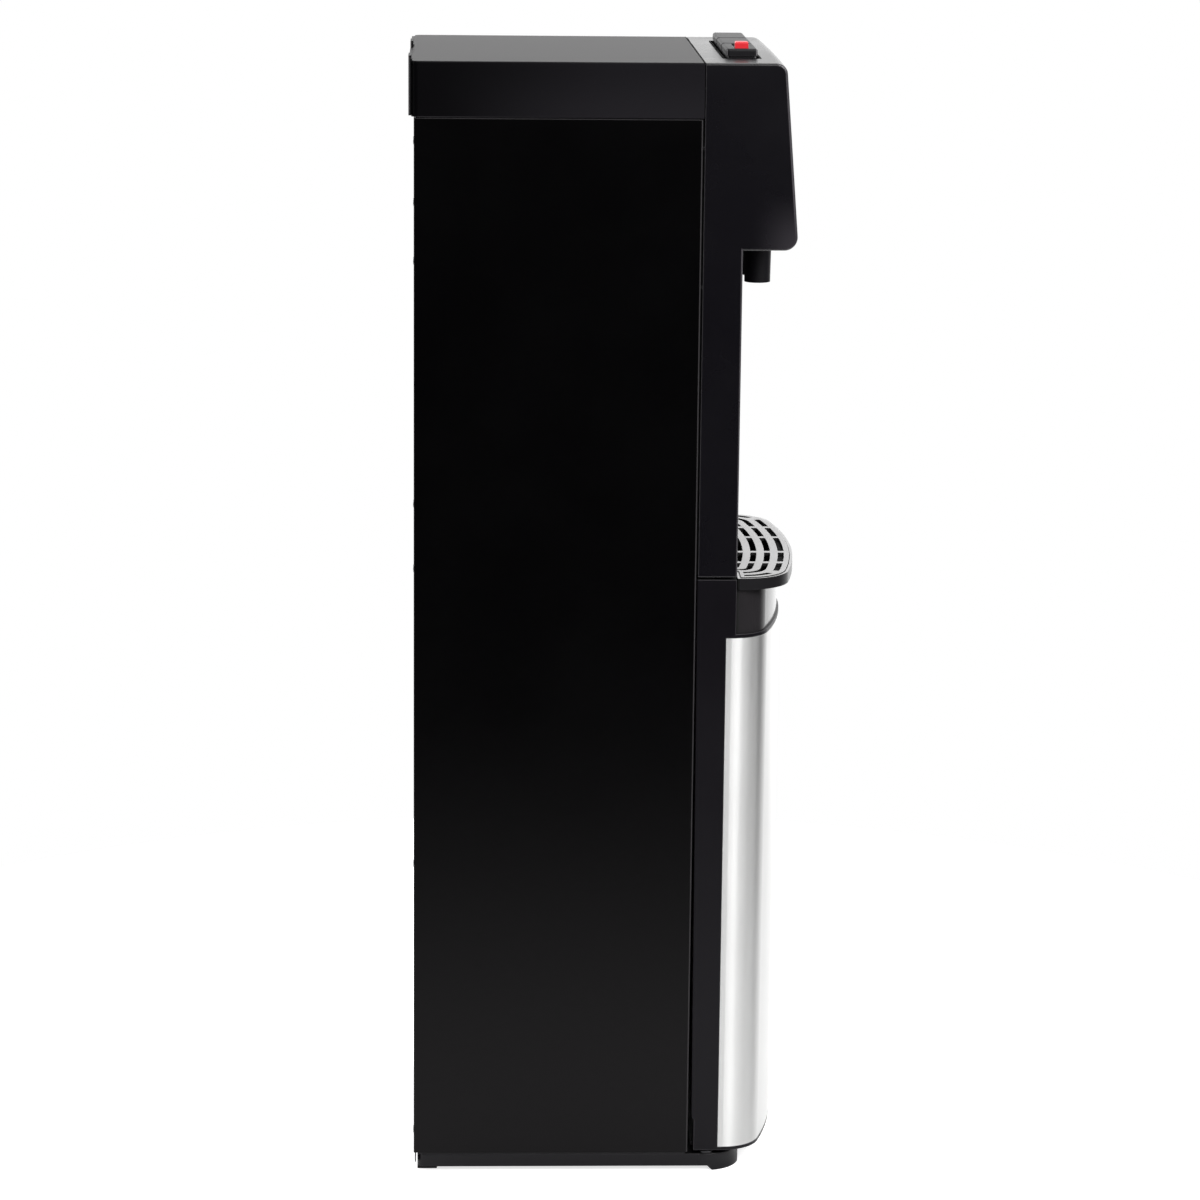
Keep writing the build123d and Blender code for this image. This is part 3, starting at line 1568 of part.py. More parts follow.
port_x = pump_half + port_reach
room_f = outlet_end + pump_stub
room_route = (
    at(pump_x + port_x, pump_f, side_port_z),
    at(pump_x + port_x + room_run, pump_f, side_port_z),
    at(nozzle_x[1], room_f, side_port_z + room_rise),
    at(nozzle_x[1], room_f, line_z),
    at(nozzle_x[1], valve_line_f, line_z),
)
supply_x = supply_inset - half_w
supply_route = (
    at(pump_x - port_x, pump_f, side_port_z),
    at(supply_x, pump_f, side_port_z),
    at(supply_x, pump_f, inlet_end + supply_over),
    at(0, tank_f, inlet_end + supply_over),
    at(0, tank_f, inlet_end),
)
hot_side_x = hot_side_inset - half_w
hot_route = (
    at(hot_x, hot_f, hot_top + port_l),
    at(hot_x, hot_f, hot_top + port_l + hot_over),
    at(hot_side_x, hot_f + hot_step, hot_top + port_l + hot_over),
    at(hot_side_x, hot_f + hot_step, line_z),
    at(hot_side_x, housing_back, line_z),
    at(nozzle_x[0], valve_line_f - tube_end, line_z),
    at(nozzle_x[0], valve_line_f, line_z),
)
cold_mid = (outlet_end + valve_line_f) / 2
cold_route = (
    at(cold_x, outlet_end, line_z),
    at(cold_x, cold_mid - tube_end, line_z),
    at(cold_x, cold_mid, line_z - cold_dip),
    at(cold_x, cold_mid + tube_end, line_z),
    at(cold_x, valve_line_f, line_z),
)

with BuildPart() as room_tube:
    add(pipe(room_route, tube_bend, pipe_r, pipe_bore))
room_tube.part.label = "room_tube"
export_step(room_tube.part, "parts/room_tube.step")

with BuildPart() as supply_tube:
    add(pipe(supply_route, tube_bend, pipe_r, pipe_bore))
supply_tube.part.label = "supply_tube"
export_step(supply_tube.part, "parts/supply_tube.step")

with BuildPart() as hot_tube:
    add(pipe(hot_route, hot_bend, pipe_r, pipe_bore))
hot_tube.part.label = "hot_tube"
export_step(hot_tube.part, "parts/hot_tube.step")

with BuildPart() as cold_tube:
    add(pipe(cold_route, tube_bend, pipe_r, pipe_bore))
cold_tube.part.label = "cold_tube"
export_step(cold_tube.part, "parts/cold_tube.step")

with BuildPart() as control_box:
    block(*box_x, *box_f, deck_top, deck_top + box_h)
    fillet(control_box.edges().filter_by(Axis.Z), box_round)
    block(
        box_x[0] + box_wall,
        box_x[1] - box_wall,
        box_f[0] + box_wall,
        box_f[1] - box_wall,
        deck_top - past,
        deck_top + box_h - box_wall,
        mode=Mode.SUBTRACT,
    )
control_box.part.label = "control_box"
export_step(control_box.part, "parts/control_box.step")

with BuildPart() as cord_inlet:
    # bush in the panel's hole, with its flange behind the sheet
    inlet_back = rear_panel_f - past
    peg(inlet_x, inlet_back, inlet_z, inlet_r, inlet_l)
    peg(inlet_x, rear_panel_f + panel_t, inlet_z, inlet_flange, inlet_flange_t)
    peg(inlet_x, inlet_back - past, inlet_z, inlet_bore, inlet_l + 2 * past, mode=Mode.SUBTRACT)
cord_inlet.part.label = "cord_inlet"
export_step(cord_inlet.part, "parts/cord_inlet.step")

# ---------------------------------------------------------------- bottle probe
probe_cap_high = probe_cap_low + probe_cap_h
barb_z = probe_cap_high + probe_barb
tube_h = probe_cap_low - probe_tube_low

with BuildPart() as probe:
    # cap with its hose barb, and the tube that reaches to the bottle's foot
    post(probe_x, probe_f, probe_cap_low, probe_cap_r, probe_cap_h)
    fillet(probe.faces().sort_by(Axis.Z)[-1].edges(), probe_cap_round)
    post(probe_x, probe_f, probe_cap_high - past, hose_r, probe_barb + past)
    post(probe_x, probe_f, probe_tube_low, probe_r, tube_h + past)
    fillet(probe.faces().sort_by(Axis.Z)[0].edges(), probe_tip_round)
    bore_low = probe_tube_low + probe_tip
    post(probe_x, probe_f, bore_low, probe_r - probe_wall, tube_h, mode=Mode.SUBTRACT)
    post(probe_x, probe_f, probe_cap_low, hose_bore, barb_z - probe_cap_low + past, mode=Mode.SUBTRACT)
    # inlet slots at the foot of the tube
    slot_z = bore_low + probe_tip
    block(
        probe_x - probe_r - past,
        probe_x + probe_r + past,
        probe_f - probe_slot_w / 2,
        probe_f + probe_slot_w / 2,
        slot_z,
        slot_z + probe_slot_h,
        mode=Mode.SUBTRACT,
    )
probe.part.label = "probe"
export_step(probe.part, "parts/probe.step")

with BuildPart() as probe_hanger:
    # fork under the probe's cap, on the side panel
    fork_z = probe_cap_low - hanger_t
    fork_end = probe_x + probe_r + hanger_rim
    hanger_back = probe_f - hanger_half
    hanger_front = probe_f + hanger_half
    block(-deck_half, fork_end, hanger_back, hanger_front, fork_z, probe_cap_low)
    block(
        -deck_half,
        -deck_half + hanger_t,
        hanger_back,
        hanger_front,
        probe_cap_low - hanger_drop,
        probe_cap_low,
    )
    post(probe_x, probe_f, fork_z - past, probe_r + gap, hanger_t + 2 * past, mode=Mode.SUBTRACT)
    block(
        probe_x,
        fork_end + past,
        probe_f - probe_r - gap,
        probe_f + probe_r + gap,
        fork_z - past,
        probe_cap_low + past,
        mode=Mode.SUBTRACT,
    )
probe_hanger.part.label = "probe_hanger"
export_step(probe_hanger.part, "parts/probe_hanger.step")

hose_mid_x = (pump_x + probe_x) / 2 + hose_shift_x
hose_mid_f = (pump_f + probe_f) / 2 + hose_shift_f
hose_route = (
    at(pump_x, pump_f, pump_low - pump_stub),
    at(pump_x, pump_f, deck_z - hose_drop),
    at(hose_mid_x, hose_mid_f, deck_z - hose_sag),
    at(probe_x, probe_f, barb_z + hose_rise),
    at(probe_x, probe_f, barb_z),
)

with BuildPart() as probe_hose:
    add(pipe(hose_route, hose_bends, hose_r, hose_bore))
probe_hose.part.label = "probe_hose"
export_step(probe_hose.part, "parts/probe_hose.step")

# ---------------------------------------------------------------- screws
with BuildPart() as casing_screws:
    head_f = panel_front - panel_t - screw_head_t
    for side in (-1, 1):
        for z in housing_screw_z:
            peg(side * screw_x, head_f, z, screw_head_r, screw_head_t)
            peg(side * screw_x, head_f + screw_head_t - past, z, screw_r, boss_l - past)
        for z in rear_screw_z:
            peg(side * screw_x, panel_rear - rear_head_t, z, screw_head_r, rear_head_t)
            peg(side * screw_x, panel_rear - rear_head_t / 2, z, screw_r, rear_screw_l)
casing_screws.part.label = "casing_screws"
export_step(casing_screws.part, "parts/casing_screws.step")
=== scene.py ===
import json
import math

import bmesh
import bpy
from mathutils import Matrix, Vector


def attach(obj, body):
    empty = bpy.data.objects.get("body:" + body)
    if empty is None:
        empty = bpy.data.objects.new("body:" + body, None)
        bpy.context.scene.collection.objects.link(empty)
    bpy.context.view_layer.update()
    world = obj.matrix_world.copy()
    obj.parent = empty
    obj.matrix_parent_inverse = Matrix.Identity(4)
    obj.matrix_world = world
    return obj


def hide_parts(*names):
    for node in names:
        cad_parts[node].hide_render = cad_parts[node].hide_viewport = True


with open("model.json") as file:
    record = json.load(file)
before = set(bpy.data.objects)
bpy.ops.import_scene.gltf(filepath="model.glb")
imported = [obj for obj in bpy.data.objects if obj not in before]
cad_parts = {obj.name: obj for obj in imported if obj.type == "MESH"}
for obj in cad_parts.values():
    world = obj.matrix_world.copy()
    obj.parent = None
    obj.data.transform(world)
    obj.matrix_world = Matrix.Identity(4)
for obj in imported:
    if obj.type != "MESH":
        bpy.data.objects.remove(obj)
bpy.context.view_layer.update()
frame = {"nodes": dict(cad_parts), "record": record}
nodes = frame["nodes"]
scene = bpy.context.scene
scene.view_settings.view_transform = "Standard"

MM = 0.001
REAR = 0.17825  # Y of the cap's rear face; forward distances are taken from it


def y_of(forward):
    """Y in metres from a distance in millimetres forward of the cap's rear face."""
    return REAR - forward * MM


def at(x, forward, z):
    """A point from millimetres: across, forward of the cap's rear face, above the floor."""
    return Vector((x * MM, y_of(forward), z * MM))


def place_object(name, data):
    piece = bpy.data.objects.new(name, data)
    scene.collection.objects.link(piece)
    return piece


# ---------------------------------------------------------------- camera
camera = place_object("camera", bpy.data.cameras.new("camera"))
camera.data.sensor_width = 36.0
camera.data.lens = 118.927
camera.data.clip_end = 60.0
camera.location = (-3.69170, 0.13809, 1.33107)
camera.rotation_euler = [math.radians(a) for a in (77.59093, -0.57798, -92.01559)]
scene.camera = camera

# ---------------------------------------------------------------- node helpers
# the mix node's sockets: its first value and its result, by kind
MIX_SOCKETS = {"RGBA": (6, 2), "FLOAT": (2, 0)}


def add(tree, kind, inputs=None, **settings):
    """A node with its settings and inputs; an input is a plain value or another node's socket."""
    node = tree.nodes.new(kind)
    for name, value in settings.items():
        setattr(node, name, value)
    for name, value in (inputs or {}).items():
        if isinstance(value, bpy.types.NodeSocket):
            tree.links.new(value, node.inputs[name])
        else:
            node.inputs[name].default_value = value
    return node


def calc(tree, operation, one, other):
    return add(tree, "ShaderNodeMath", {0: one, 1: other}, operation=operation).outputs[0]


def mix(tree, kind, factor, one, other):
    first, result = MIX_SOCKETS[kind]
    node = add(tree, "ShaderNodeMix", {"Factor": factor, first: one, first + 1: other}, data_type=kind)
    return node.outputs[result]


def part_of(tree, vector, axis):
    return add(tree, "ShaderNodeSeparateXYZ", {"Vector": vector}).outputs[axis]


def finish(
    name,
    colour,
    rough=(0.3, 0.4),
    metallic=0.0,
    specular=0.5,
    mottle=0.12,
    cloud=9.0,
    grain=900.0,
    depth=0.00002,
    stretch=(1.0, 1.0, 1.0),
    edge=0.0006,
    shine=0.5,
    rim=None,
):
    """A moulded, painted or metal finish. colour is linear and varies by the share mottle; rough runs
    between two values in soft clouds; grain, depth and stretch give the fine texture. The rounded edges,
    of radius edge, are lighter in the colour rim, mixed in up to the share shine: partly wear, partly a
    painted highlight."""
    mat = bpy.data.materials.new(name)
    mat.use_nodes = True
    tree = mat.node_tree
    where = add(tree, "ShaderNodeTexCoord").outputs["Object"]
    laid = add(tree, "ShaderNodeMapping", {"Vector": where, "Scale": stretch}).outputs["Vector"]
    clouds = {"Vector": where, "Scale": cloud, "Detail": 4.0, "Roughness": 0.6}
    clouds = add(tree, "ShaderNodeTexNoise", clouds).outputs["Fac"]
    fine = {"Vector": laid, "Scale": grain, "Detail": 2.0, "Roughness": 0.5}
    fine = add(tree, "ShaderNodeTexNoise", fine).outputs["Fac"]

    # an edge is lighter, partly as wear and partly as a painted highlight, where its rounded normal leaves
    # the face's own
    rounded = add(tree, "ShaderNodeBevel", {"Radius": edge}, samples=6).outputs["Normal"]
    flat = add(tree, "ShaderNodeNewGeometry").outputs["Normal"]
    agree = add(tree, "ShaderNodeVectorMath", {0: rounded, 1: flat}, operation="DOT_PRODUCT")
    limits = {"Value": agree.outputs["Value"], "From Min": 0.99, "From Max": 0.9, "To Max": shine}
    wear_and_edge_highlight = add(tree, "ShaderNodeMapRange", limits).outputs["Result"]

    low = [c * (1 - mottle) for c in colour]
    high = [min(1.0, c * (1 + mottle)) for c in colour]
    rim = rim or [min(1.0, c * 1.35 + 0.006) for c in colour]
    tone = mix(tree, "RGBA", clouds, (*low, 1.0), (*high, 1.0))
    limits = {"Value": clouds, "From Min": 0.35, "From Max": 0.65, "To Min": rough[0], "To Max": rough[1]}
    relief = {"Height": fine, "Distance": depth, "Strength": 1.0, "Normal": rounded}
    bsdf = tree.nodes["Principled BSDF"]
    tree.links.new(mix(tree, "RGBA", wear_and_edge_highlight, tone, (*rim, 1.0)), bsdf.inputs["Base Color"])
    tree.links.new(add(tree, "ShaderNodeMapRange", limits).outputs["Result"], bsdf.inputs["Roughness"])
    tree.links.new(add(tree, "ShaderNodeBump", relief).outputs["Normal"], bsdf.inputs["Normal"])
    bsdf.inputs["Metallic"].default_value = metallic
    bsdf.inputs["Specular IOR Level"].default_value = specular
    return mat


# ---------------------------------------------------------------- materials
# painted highlight: a light colour on the rounded edges of the black cap, housing and keys
PAINTED_EDGE_HIGHLIGHT = {"edge": 0.0012, "shine": 1.0, "rim": (0.06, 0.057, 0.062)}
finishes = {
    "black_plastic": dict(colour=(0.006, 0.0055, 0.0075), rough=(0.42, 0.5), specular=0.3, grain=1400),
    "black_cap": dict(
        colour=(0.0009, 0.0007, 0.0013),
        rough=(0.44, 0.48),
        specular=0.09,
        grain=1600,
        depth=0.00001,
        **PAINTED_EDGE_HIGHLIGHT,
    ),
    "black_housing": dict(
        colour=(0.0032, 0.0027, 0.0045),
        rough=(0.25, 0.3),
        specular=0.42,
        grain=1600,
        **{**PAINTED_EDGE_HIGHLIGHT, "edge": 0.0016},
    ),
    # painted highlight: the door's edges take the light rim colour
    "black_door": dict(
        colour=(0.0045, 0.0037, 0.0056),
        rough=(0.34, 0.4),
        specular=0.17,
        grain=1600,
        edge=0.0013,
        shine=1.0,
        rim=(0.06, 0.056, 0.062),
    ),
    # painted highlight: the side panels' edges take the light rim colour
    "black_panel": dict(
        colour=(0.0004, 0.0003, 0.0005),
        rough=(0.36, 0.42),
        specular=0.08,
        grain=600,
        edge=0.0012,
        shine=1.0,
        rim=(0.05, 0.047, 0.05),
    ),
    "black_base": dict(
        colour=(0.006, 0.0053, 0.007), rough=(0.3, 0.36), specular=0.26, grain=1400, edge=0.0022
    ),
    "black_holder": dict(
        colour=(0.0205, 0.0188, 0.0205), rough=(0.13, 0.17), specular=0.6, grain=1600, edge=0.0008
    ),
    "black_cover": dict(
        colour=(0.003, 0.0027, 0.0034), rough=(0.4, 0.46), specular=0.2, grain=1600, edge=0.0005
    ),
    "rear_sheet": dict(
        colour=(0.007, 0.0066, 0.0074), rough=(0.34, 0.42), specular=0.4, grain=600, edge=0.001
    ),
    "tray_rim": dict(colour=(0.011, 0.0104, 0.012), rough=(0.3, 0.36), specular=0.35, edge=0.0004),
    "dull_black": dict(colour=(0.002, 0.0019, 0.0023), rough=(0.8, 0.9), specular=0.1),
    "black_rubber": dict(colour=(0.014, 0.014, 0.014), rough=(0.7, 0.85), grain=1200),
    "black_enamel": dict(colour=(0.006, 0.006, 0.006), rough=(0.2, 0.3), grain=300),
    "grey_key": dict(
        colour=(0.006, 0.0055, 0.007), rough=(0.4, 0.46), specular=0.2, depth=0.000004, **PAINTED_EDGE_HIGHLIGHT
    ),
    "red_plastic": dict(colour=(0.72, 0.02, 0.03), rough=(0.22, 0.3), mottle=0.05),
    "green_plastic": dict(colour=(0.02, 0.3, 0.09), rough=(0.22, 0.3), mottle=0.05),
    "white_plastic": dict(colour=(0.74, 0.74, 0.71), rough=(0.35, 0.45), mottle=0.04),
    "smoked_window": dict(colour=(0.01, 0.01, 0.012), rough=(0.05, 0.08), depth=0.000001),
    "stainless_steel": dict(
        colour=(0.78, 0.78, 0.775),
        rough=(0.4, 0.44),
        metallic=1.0,
        mottle=0.03,
        grain=260.0,
        depth=0.000006,
        stretch=(0.02, 0.02, 8.0),
        edge=0.0003,
    ),
    "tank_steel": dict(colour=(0.55, 0.55, 0.56), rough=(0.25, 0.4), metallic=1.0, grain=400),
    "bare_steel": dict(colour=(0.5, 0.51, 0.53), rough=(0.3, 0.45), metallic=1.0, grain=500),
    "dull_steel": dict(colour=(0.06, 0.06, 0.063), rough=(0.15, 0.2), metallic=1.0, grain=500),
    "silver_grille": dict(colour=(0.29, 0.288, 0.29), rough=(0.3, 0.36), mottle=0.04),
    "copper": dict(colour=(0.72, 0.33, 0.2), rough=(0.22, 0.42), metallic=1.0, cloud=40, mottle=0.2),
    "white_foam": dict(colour=(0.8, 0.78, 0.7), rough=(0.85, 0.95), grain=260, depth=0.0004),
    "food_hose": dict(colour=(0.72, 0.74, 0.73), rough=(0.25, 0.35), mottle=0.04),
    "circuit_board": dict(colour=(0.01, 0.13, 0.04), rough=(0.3, 0.4), mottle=0.2, cloud=60),
}
materials = {name: finish(name, **looks) for name, looks in finishes.items()}

# the door's steel is brushed, and so its reflections are drawn out along the height
tree = materials["stainless_steel"].node_tree
steel = tree.nodes["Principled BSDF"]
tangent = add(tree, "ShaderNodeTangent", direction_type="RADIAL", axis="Z")
tree.links.new(tangent.outputs[0], steel.inputs["Tangent"])
steel.inputs["Anisotropic"].default_value = 0.95
steel.inputs["Anisotropic Rotation"].default_value = 0.25


# ---------------------------------------------------------------- painted light and shade, and changes of roughness, within a piece
class Look:
    """Extra colours and roughness on one of the materials, each where a mask is 1; most are painted light and
    shade.
    Masks come from the true normal and from the place in the part: millimetres forward of the cap's rear
    face, or above the floor."""

    def __init__(self, name):
        self.tree = materials[name].node_tree

    def normal(self, axis):
        return part_of(self.tree, add(self.tree, "ShaderNodeNewGeometry").outputs["True Normal"], axis)

    def place(self, axis):
        return part_of(self.tree, add(self.tree, "ShaderNodeTexCoord").outputs["Object"], axis)

    def more(self, one, other):
        return calc(self.tree, "GREATER_THAN", one, other)

    def less(self, one, other):
        return calc(self.tree, "LESS_THAN", one, other)

    def both(self, one, other):
        return calc(self.tree, "MULTIPLY", one, other)

    def part(self, axis):
        """How far the normal points along an axis, either way."""
        return add(self.tree, "ShaderNodeMath", {0: self.normal(axis)}, operation="ABSOLUTE").outputs[0]

    def up(self, limit):
        return self.more(self.normal("Z"), limit)

    def above(self, z):
        return self.more(self.place("Z"), z * MM)

    def below(self, z):
        return self.less(self.place("Z"), z * MM)

    def before(self, forward):
        return self.less(self.place("Y"), y_of(forward))

    def behind(self, forward):
        return self.more(self.place("Y"), y_of(forward))

    def ramp(self, value, start, end):
        """0 at start, 1 at end, and a smooth rise between them."""
        limits = {"Value": value, "From Min": start, "From Max": end}
        ramp = add(self.tree, "ShaderNodeMapRange", limits, interpolation_type="SMOOTHSTEP")
        return ramp.outputs["Result"]

    def forwards(self, start, end):
        return self.ramp(self.place("Y"), y_of(start), y_of(end))

    def downwards(self, start, end):
        return self.ramp(self.place("Z"), start * MM, end * MM)

    def corner(self, low, high):
        """A mask of the rounded upright edges between a side and the front or rear, where painted highlights
        go;
        low and high are the limits of the normal's part along Y."""
        along = self.part("Y")
        line = self.both(self.more(along, low), self.less(along, high))
        return self.both(line, self.more(self.part("X"), 0.45))

    def shade(self, mask, colour, rough):
        """Another colour and roughness where the mask is 1."""
        inputs = self.tree.nodes["Principled BSDF"].inputs
        for name, kind, value in (("Base Color", "RGBA", (*colour, 1.0)), ("Roughness", "FLOAT", rough)):
            plain = inputs[name].links[0].from_socket
            self.tree.links.new(mix(self.tree, kind, mask, plain, value), inputs[name])


# painted shade: the grille's slots have dark walls
look = Look("silver_grille")
look.shade(look.less(look.part("Z"), 0.5), (0.006, 0.006, 0.006), 0.5)

# the tray is black; a painted highlight makes the top of its rim silver, and painted shade darkens the ledge
# below it
RIM_Z = 571
look = Look("tray_rim")
look.shade(look.both(look.up(0.5), look.above(RIM_Z)), (0.34, 0.338, 0.34), 0.3)
look.shade(look.both(look.up(0.5), look.below(RIM_Z)), (0.001, 0.001, 0.001), 1.0)

# painted shade: a dark line parts the tray and its holder from the door's side
SLIT_F = 300.3
for name in ("black_holder", "tray_rim"):
    look = Look(name)
    painted_slit_shade = look.both(look.behind(SLIT_F), look.less(look.normal("Z"), 0.5))
    look.shade(painted_slit_shade, (0.0005, 0.0005, 0.0005), 0.9)

# painted light: the cap grows lighter towards the front and the bottom and on its top face, and painted shade
# makes a dark seam before the hood
CAP_SEAM_F = 260.3
look = Look("black_cap")
forward = look.forwards(8.25, 218.25)
look.shade(forward, (0.0075, 0.0068, 0.0088), 0.45)
look.shade(look.both(look.downwards(1040, 985), forward), (0.0115, 0.0105, 0.0128), 0.45)
look.shade(look.up(0.7), (0.006, 0.0056, 0.0064), 0.4)
look.shade(look.both(look.up(0.7), look.before(CAP_SEAM_F)), (0.001, 0.001, 0.001), 0.9)

# painted light: the side panels grow lighter towards the floor, and a painted highlight shows their front
# flange as a light line
FLANGE_F = 259.2
look = Look("black_panel")
look.shade(look.downwards(480, 0), (0.0088, 0.0082, 0.0088), 0.36)
look.shade(look.before(FLANGE_F), (0.04, 0.038, 0.04), 0.36)

# painted highlights: the hood's upright edges and its lower front corner are lighter, and so are the keys'
# edges
look = Look("black_housing")
look.shade(look.corner(0.1, 0.7), (0.06, 0.056, 0.062), 0.25)
painted_hood_highlight = look.both(look.forwards(303.25, 350.25), look.downwards(930, 870))
look.shade(painted_hood_highlight, (0.03, 0.027, 0.032), 0.3)
look = Look("grey_key")
look.shade(look.corner(0.5, 0.85), (0.12, 0.115, 0.12), 0.2)

# painted shade: the door's top is darker and dull under the tray, and the upper hinge is dark in its seam
DOOR_TOP_Z = 560
LOWER_HINGE_Z = 300
look = Look("black_door")
look.shade(look.both(look.up(0.9), look.above(DOOR_TOP_Z)), (0.0012, 0.0012, 0.0014), 0.9)
look = Look("dull_steel")
look.shade(look.above(LOWER_HINGE_Z), (0.002, 0.002, 0.002), 0.8)

# the base's apron is smoother than its sides, and its top is dull
APRON_F = 272
look = Look("black_base")
look.shade(look.before(APRON_F), (0.006, 0.0055, 0.007), 0.14)
look.shade(look.up(0.7), (0.003, 0.0028, 0.0034), 0.6)

# painted highlight: a light line runs down the side of the rear cover, between two distances behind the cap
COVER_HIGHLIGHT_F = (-3.0, -1.7)
look = Look("black_cover")
line = look.both(look.before(COVER_HIGHLIGHT_F[0]), look.behind(COVER_HIGHLIGHT_F[1]))
look.shade(look.both(line, look.more(look.part("X"), 0.3)), (0.13, 0.124, 0.127), 0.4)

# ---------------------------------------------------------------- materials onto the nodes
slot_of = {row["node"]: row["material_slot"] for row in frame["record"]["subparts"]}
own = {
    "drip_tray": "tray_rim",
    "hinge_hardware": "dull_steel",
    "door_bushes": "dull_black",
    "base": "black_base",
    "tray_holder": "black_holder",
    "key_bezel": "dull_black",
    "rear_top_cover": "black_cover",
    "rear_panel": "rear_sheet",
    "switch_panel": "rear_sheet",
    "condenser_brackets": "rear_sheet",
}
for node, piece in nodes.items():
    piece.data.materials.clear()
    piece.data.materials.append(materials[own.get(node, slot_of[node])])

# ---------------------------------------------------------------- new pieces
RING_POINTS = 24
CROSS_TURN = 0.7  # radians from one screw's cross to the next
SCREW_X = 146.5
HEAD_R = 3.6
SHANK_R = 1.65
# heights of the screws in one upright row, then how far forward their heads sit, the heads' thickness
# and the shanks' length
REAR_ROW = (40, 300, 580, 640, 862, 915, 970), 2.3, 0.6, 7.7
HOUSING_ROW = (650, 840, 965), 259.4, 1.6, 18.0
# the dark strips' limits across, forward and up
SHADE_STRIP_X = 150.3, 149.5
SHADE_STRIP_F = 259.5, 262.6
SHADE_STRIP_Z = 575, 989


def ring(bm, stand, radius, height):
    """A circle of points about the Z axis of stand."""
    turns = [2 * math.pi * i / RING_POINTS for i in range(RING_POINTS)]
    return [bm.verts.new(stand @ Vector((radius * math.cos(a), radius * math.sin(a), height))) for a in turns]


def bridge(bm, one, other):
    """A band of faces between two closed loops with the same number of points."""
    for i in range(len(one)):
        j = (i + 1) % len(one)
        bm.faces.new((one[i], one[j], other[j], other[i]))


def cross(bm, stand, arm, half, height):
    """The twelve corners of a cross recess."""
    quarter = ((arm, -half), (arm, half), (half, half))
    corners = []
    for c, q in ((1, 0), (0, 1), (-1, 0), (0, -1)):
        corners += [(x * c - y * q, x * q + y * c) for x, y in quarter]
    return [bm.verts.new(stand @ Vector((x, y, height))) for x, y in corners]


def screw(bm, stand, head_r, head_t, shank_r, length):
    """A pan head screw with a cross recess; its head stands up along the Z axis of stand."""
    shape = ((1.0, 0.0), (1.0, 0.4), (0.95, 0.75), (0.84, 1.0))
    loops = [ring(bm, stand, head_r * r, head_t * h) for r, h in shape]
    for one, other in zip(loops, loops[1:]):
        bridge(bm, one, other)
    mouth = cross(bm, stand, 0.56 * head_r, 0.13 * head_r, head_t)
    pit = cross(bm, stand, 0.34 * head_r, 0.09 * head_r, head_t - 0.4 * head_r)
    bridge(bm, mouth, pit)
    bm.faces.new(pit)
    edges = []
    for loop in (loops[-1], mouth):
        for i in range(len(loop)):
            pair = (loop[i], loop[(i + 1) % len(loop)])
            edges.append(bm.edges.get(pair) or bm.edges.new(pair))
    bmesh.ops.triangle_fill(bm, use_beauty=True, edges=edges)
    neck = ring(bm, stand, shank_r, 0)
    tip = ring(bm, stand, shank_r, -length)
    bridge(bm, neck, loops[0])
    bridge(bm, tip, neck)
    bm.faces.new(tip)


def screw_rows(heights, face, thick, length):
    """Screws in two upright rows, one along each side, with their heads to the rear."""

    def build(bm):
        for side in (-1, 1):
            for i, z in enumerate(heights):
                turn = Matrix.Rotation(CROSS_TURN * i + side, 4, "Y")
                lie = Matrix.Rotation(-math.pi / 2, 4, "X")
                stand = Matrix.Translation(at(side * SCREW_X, face, z)) @ turn @ lie
                screw(bm, stand, HEAD_R * MM, thick * MM, SHANK_R * MM, length * MM)

    return build


def gap_shade_strips(bm):
    """Dark strips that fill the gap between each side panel and the housing as painted shade."""
    for side in (-1, 1):
        (x0, x1), (f0, f1) = [side * x for x in SHADE_STRIP_X], SHADE_STRIP_F
        plan = ((x0, f0), (x1, f0), (x1, f1), (x0, f1))
        low, high = [[bm.verts.new(at(x, f, z)) for x, f in plan] for z in SHADE_STRIP_Z]
        bridge(bm, low, high)
        bm.faces.new(low)
        bm.faces.new(high)


def cabinet_piece(name, build, look_name, slot, *replaced):
    """A new piece that rides the cabinet, with its material, in place of the nodes replaced. slot is not
    used.
    """
    bm = bmesh.new()
    build(bm)
    bmesh.ops.recalc_face_normals(bm, faces=bm.faces)
    mesh = bpy.data.meshes.new(name)
    bm.to_mesh(mesh)
    bm.free()
    mesh.materials.append(materials[look_name])
    piece = place_object(name, mesh)
    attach(piece, "cabinet")
    if replaced:
        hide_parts(*replaced)


cabinet_piece("rear_screws", screw_rows(*REAR_ROW), "bare_steel", "bare_steel", "casing_screws")
# painted shade: the housing's screws sit in the dark gap behind the side panels, so they are black though
# they are bare steel
cabinet_piece("housing_screws", screw_rows(*HOUSING_ROW), "dull_black", "bare_steel", "casing_screws")
# painted shade: dark strips stand in the gap beside each side panel
cabinet_piece("panel_gap_shade_strips", gap_shade_strips, "dull_black", "black_rubber")

# ---------------------------------------------------------------- world
# white to the camera and through glass, dim as diffuse light, and in reflections a studio that is dark
# on the camera's side and bright behind the object
world = bpy.data.worlds.new("studio")
scene.world = world
world.use_nodes = True
tree = world.node_tree
tree.nodes.clear()
rays = add(tree, "ShaderNodeLightPath").outputs
aim = part_of(tree, add(tree, "ShaderNodeTexCoord").outputs["Generated"], "X")
limits = {"Value": aim, "From Min": 0.2, "From Max": 0.9, "To Min": 0.02, "To Max": 1.0}
studio = add(tree, "ShaderNodeMapRange", limits, interpolation_type="SMOOTHSTEP").outputs["Result"]
reflected = calc(tree, "MULTIPLY", rays["Is Glossy Ray"], studio)
seen = calc(tree, "MAXIMUM", rays["Is Camera Ray"], rays["Is Transmission Ray"])
diffuse = calc(tree, "MULTIPLY", rays["Is Diffuse Ray"], 0.45)
level = calc(tree, "MAXIMUM", calc(tree, "MAXIMUM", reflected, seen), diffuse)
sky = add(tree, "ShaderNodeBackground", {"Color": (1, 1, 1, 1), "Strength": level})
tree.links.new(sky.outputs[0], add(tree, "ShaderNodeOutputWorld").inputs["Surface"])

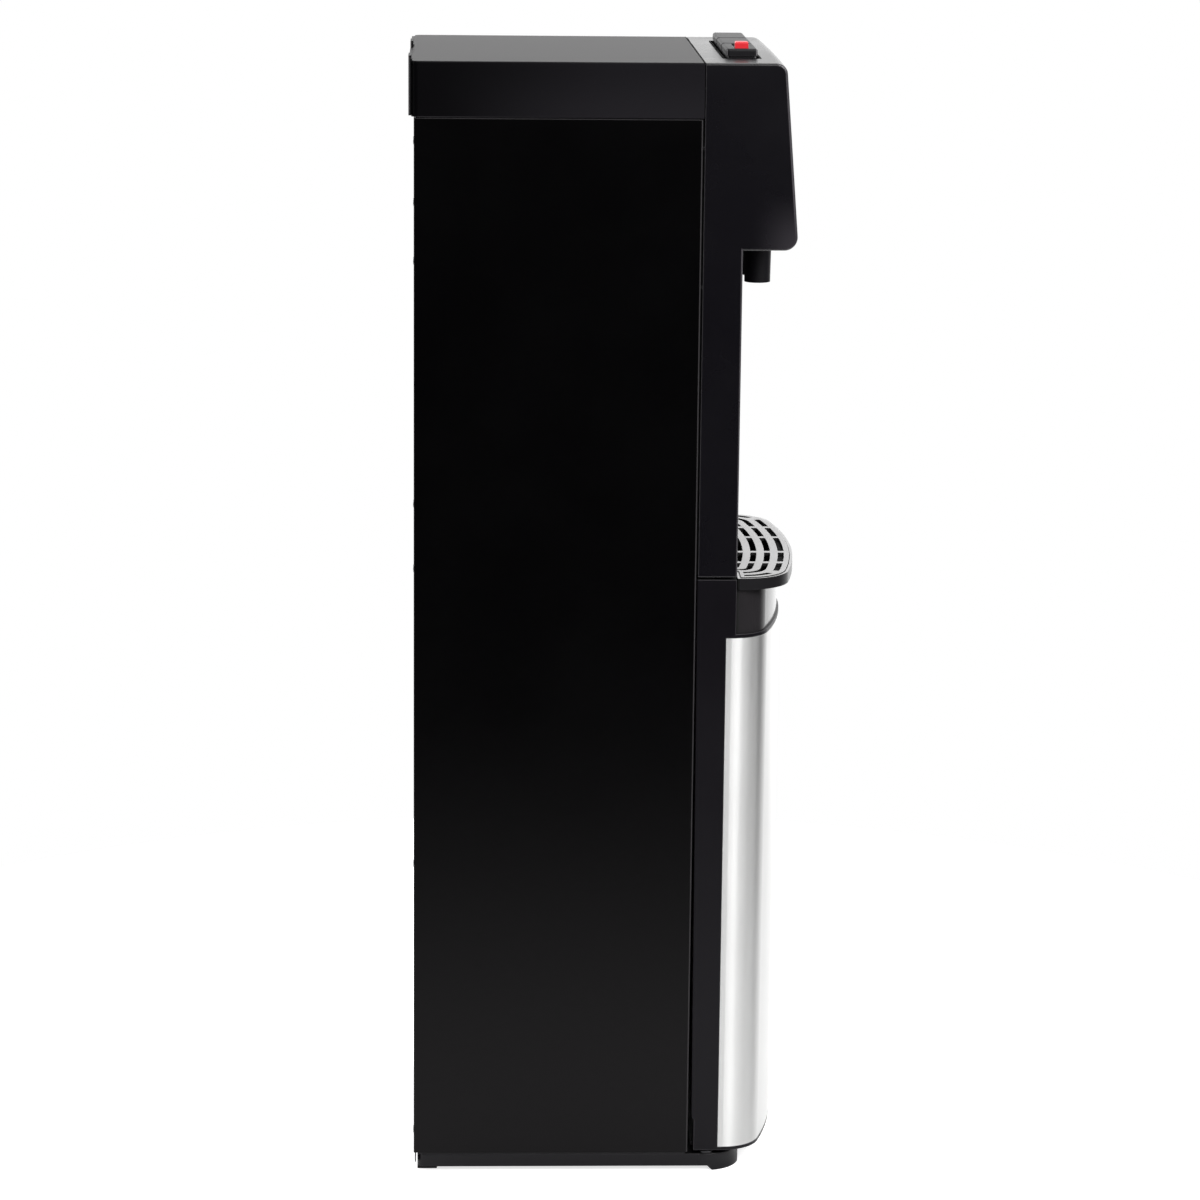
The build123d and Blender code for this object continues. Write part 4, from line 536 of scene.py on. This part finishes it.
# ---------------------------------------------------------------- floor
FLOOR_R = 1.1
paper = bpy.data.materials.new("paper")
paper.use_nodes = True
tree = paper.node_tree
matt = tree.nodes["Principled BSDF"]
matt.inputs["Base Color"].default_value = (0.8, 0.8, 0.8, 1)
matt.inputs["Roughness"].default_value = 0.9
lift = calc(tree, "MULTIPLY", add(tree, "ShaderNodeLightPath").outputs["Is Camera Ray"], 0.72)
glow = add(tree, "ShaderNodeEmission", {"Color": (1, 1, 1, 1), "Strength": lift})
mixed = add(tree, "ShaderNodeAddShader", {0: matt.outputs[0], 1: glow.outputs[0]})
tree.links.new(mixed.outputs[0], tree.nodes["Material Output"].inputs["Surface"])
turns = [math.radians(a) for a in range(0, 360, 5)]
mesh = bpy.data.meshes.new("floor")
mesh.from_pydata([(FLOOR_R * math.cos(a), FLOOR_R * math.sin(a), 0) for a in turns], [], [range(len(turns))])
mesh.materials.append(paper)
place_object("floor", mesh)

# ---------------------------------------------------------------- lights
MIDDLE = Vector((0, 0, 0.55))  # what the softboxes stand round and point at


def lamp(name, place, target, size, power):
    data = bpy.data.lights.new(name, "AREA")
    data.shape = "RECTANGLE"
    data.size, data.size_y = size
    data.energy = power
    piece = place_object(name, data)
    piece.location = place
    piece.rotation_euler = (Vector(target) - Vector(place)).to_track_quat("-Z", "Y").to_euler()
    piece.visible_camera = False


def softbox(name, azimuth, height, distance, size, power):
    """A lamp round the object: azimuth in degrees from -X towards -Y, height in degrees."""
    a, h = math.radians(azimuth), math.radians(height)
    away = Vector((-math.cos(a) * math.cos(h), -math.sin(a) * math.cos(h), math.sin(h))) * distance
    lamp(name, away + MIDDLE, MIDDLE, size, power)


lamp("overhead", (0.5, -0.2, 3.0), (0, 0, 0.5), (1.8, 1.8), 35)
softbox("side", 0, 36, 3.2, (0.7, 1.2), 9)
softbox("key", 26, 36, 3.2, (1.35, 1.5), 56)
softbox("fill", 54, 34, 3.3, (1.3, 1.4), 23)
softbox("front", 86, 30, 3.4, (1.8, 1.4), 16)
softbox("back", 180, 4, 1.2, (1.8, 1.3), 4)
softbox("right", 150, 34, 3.2, (1.4, 1.4), 14)
softbox("rear", -100, 26, 3.0, (1.8, 1.5), 34)
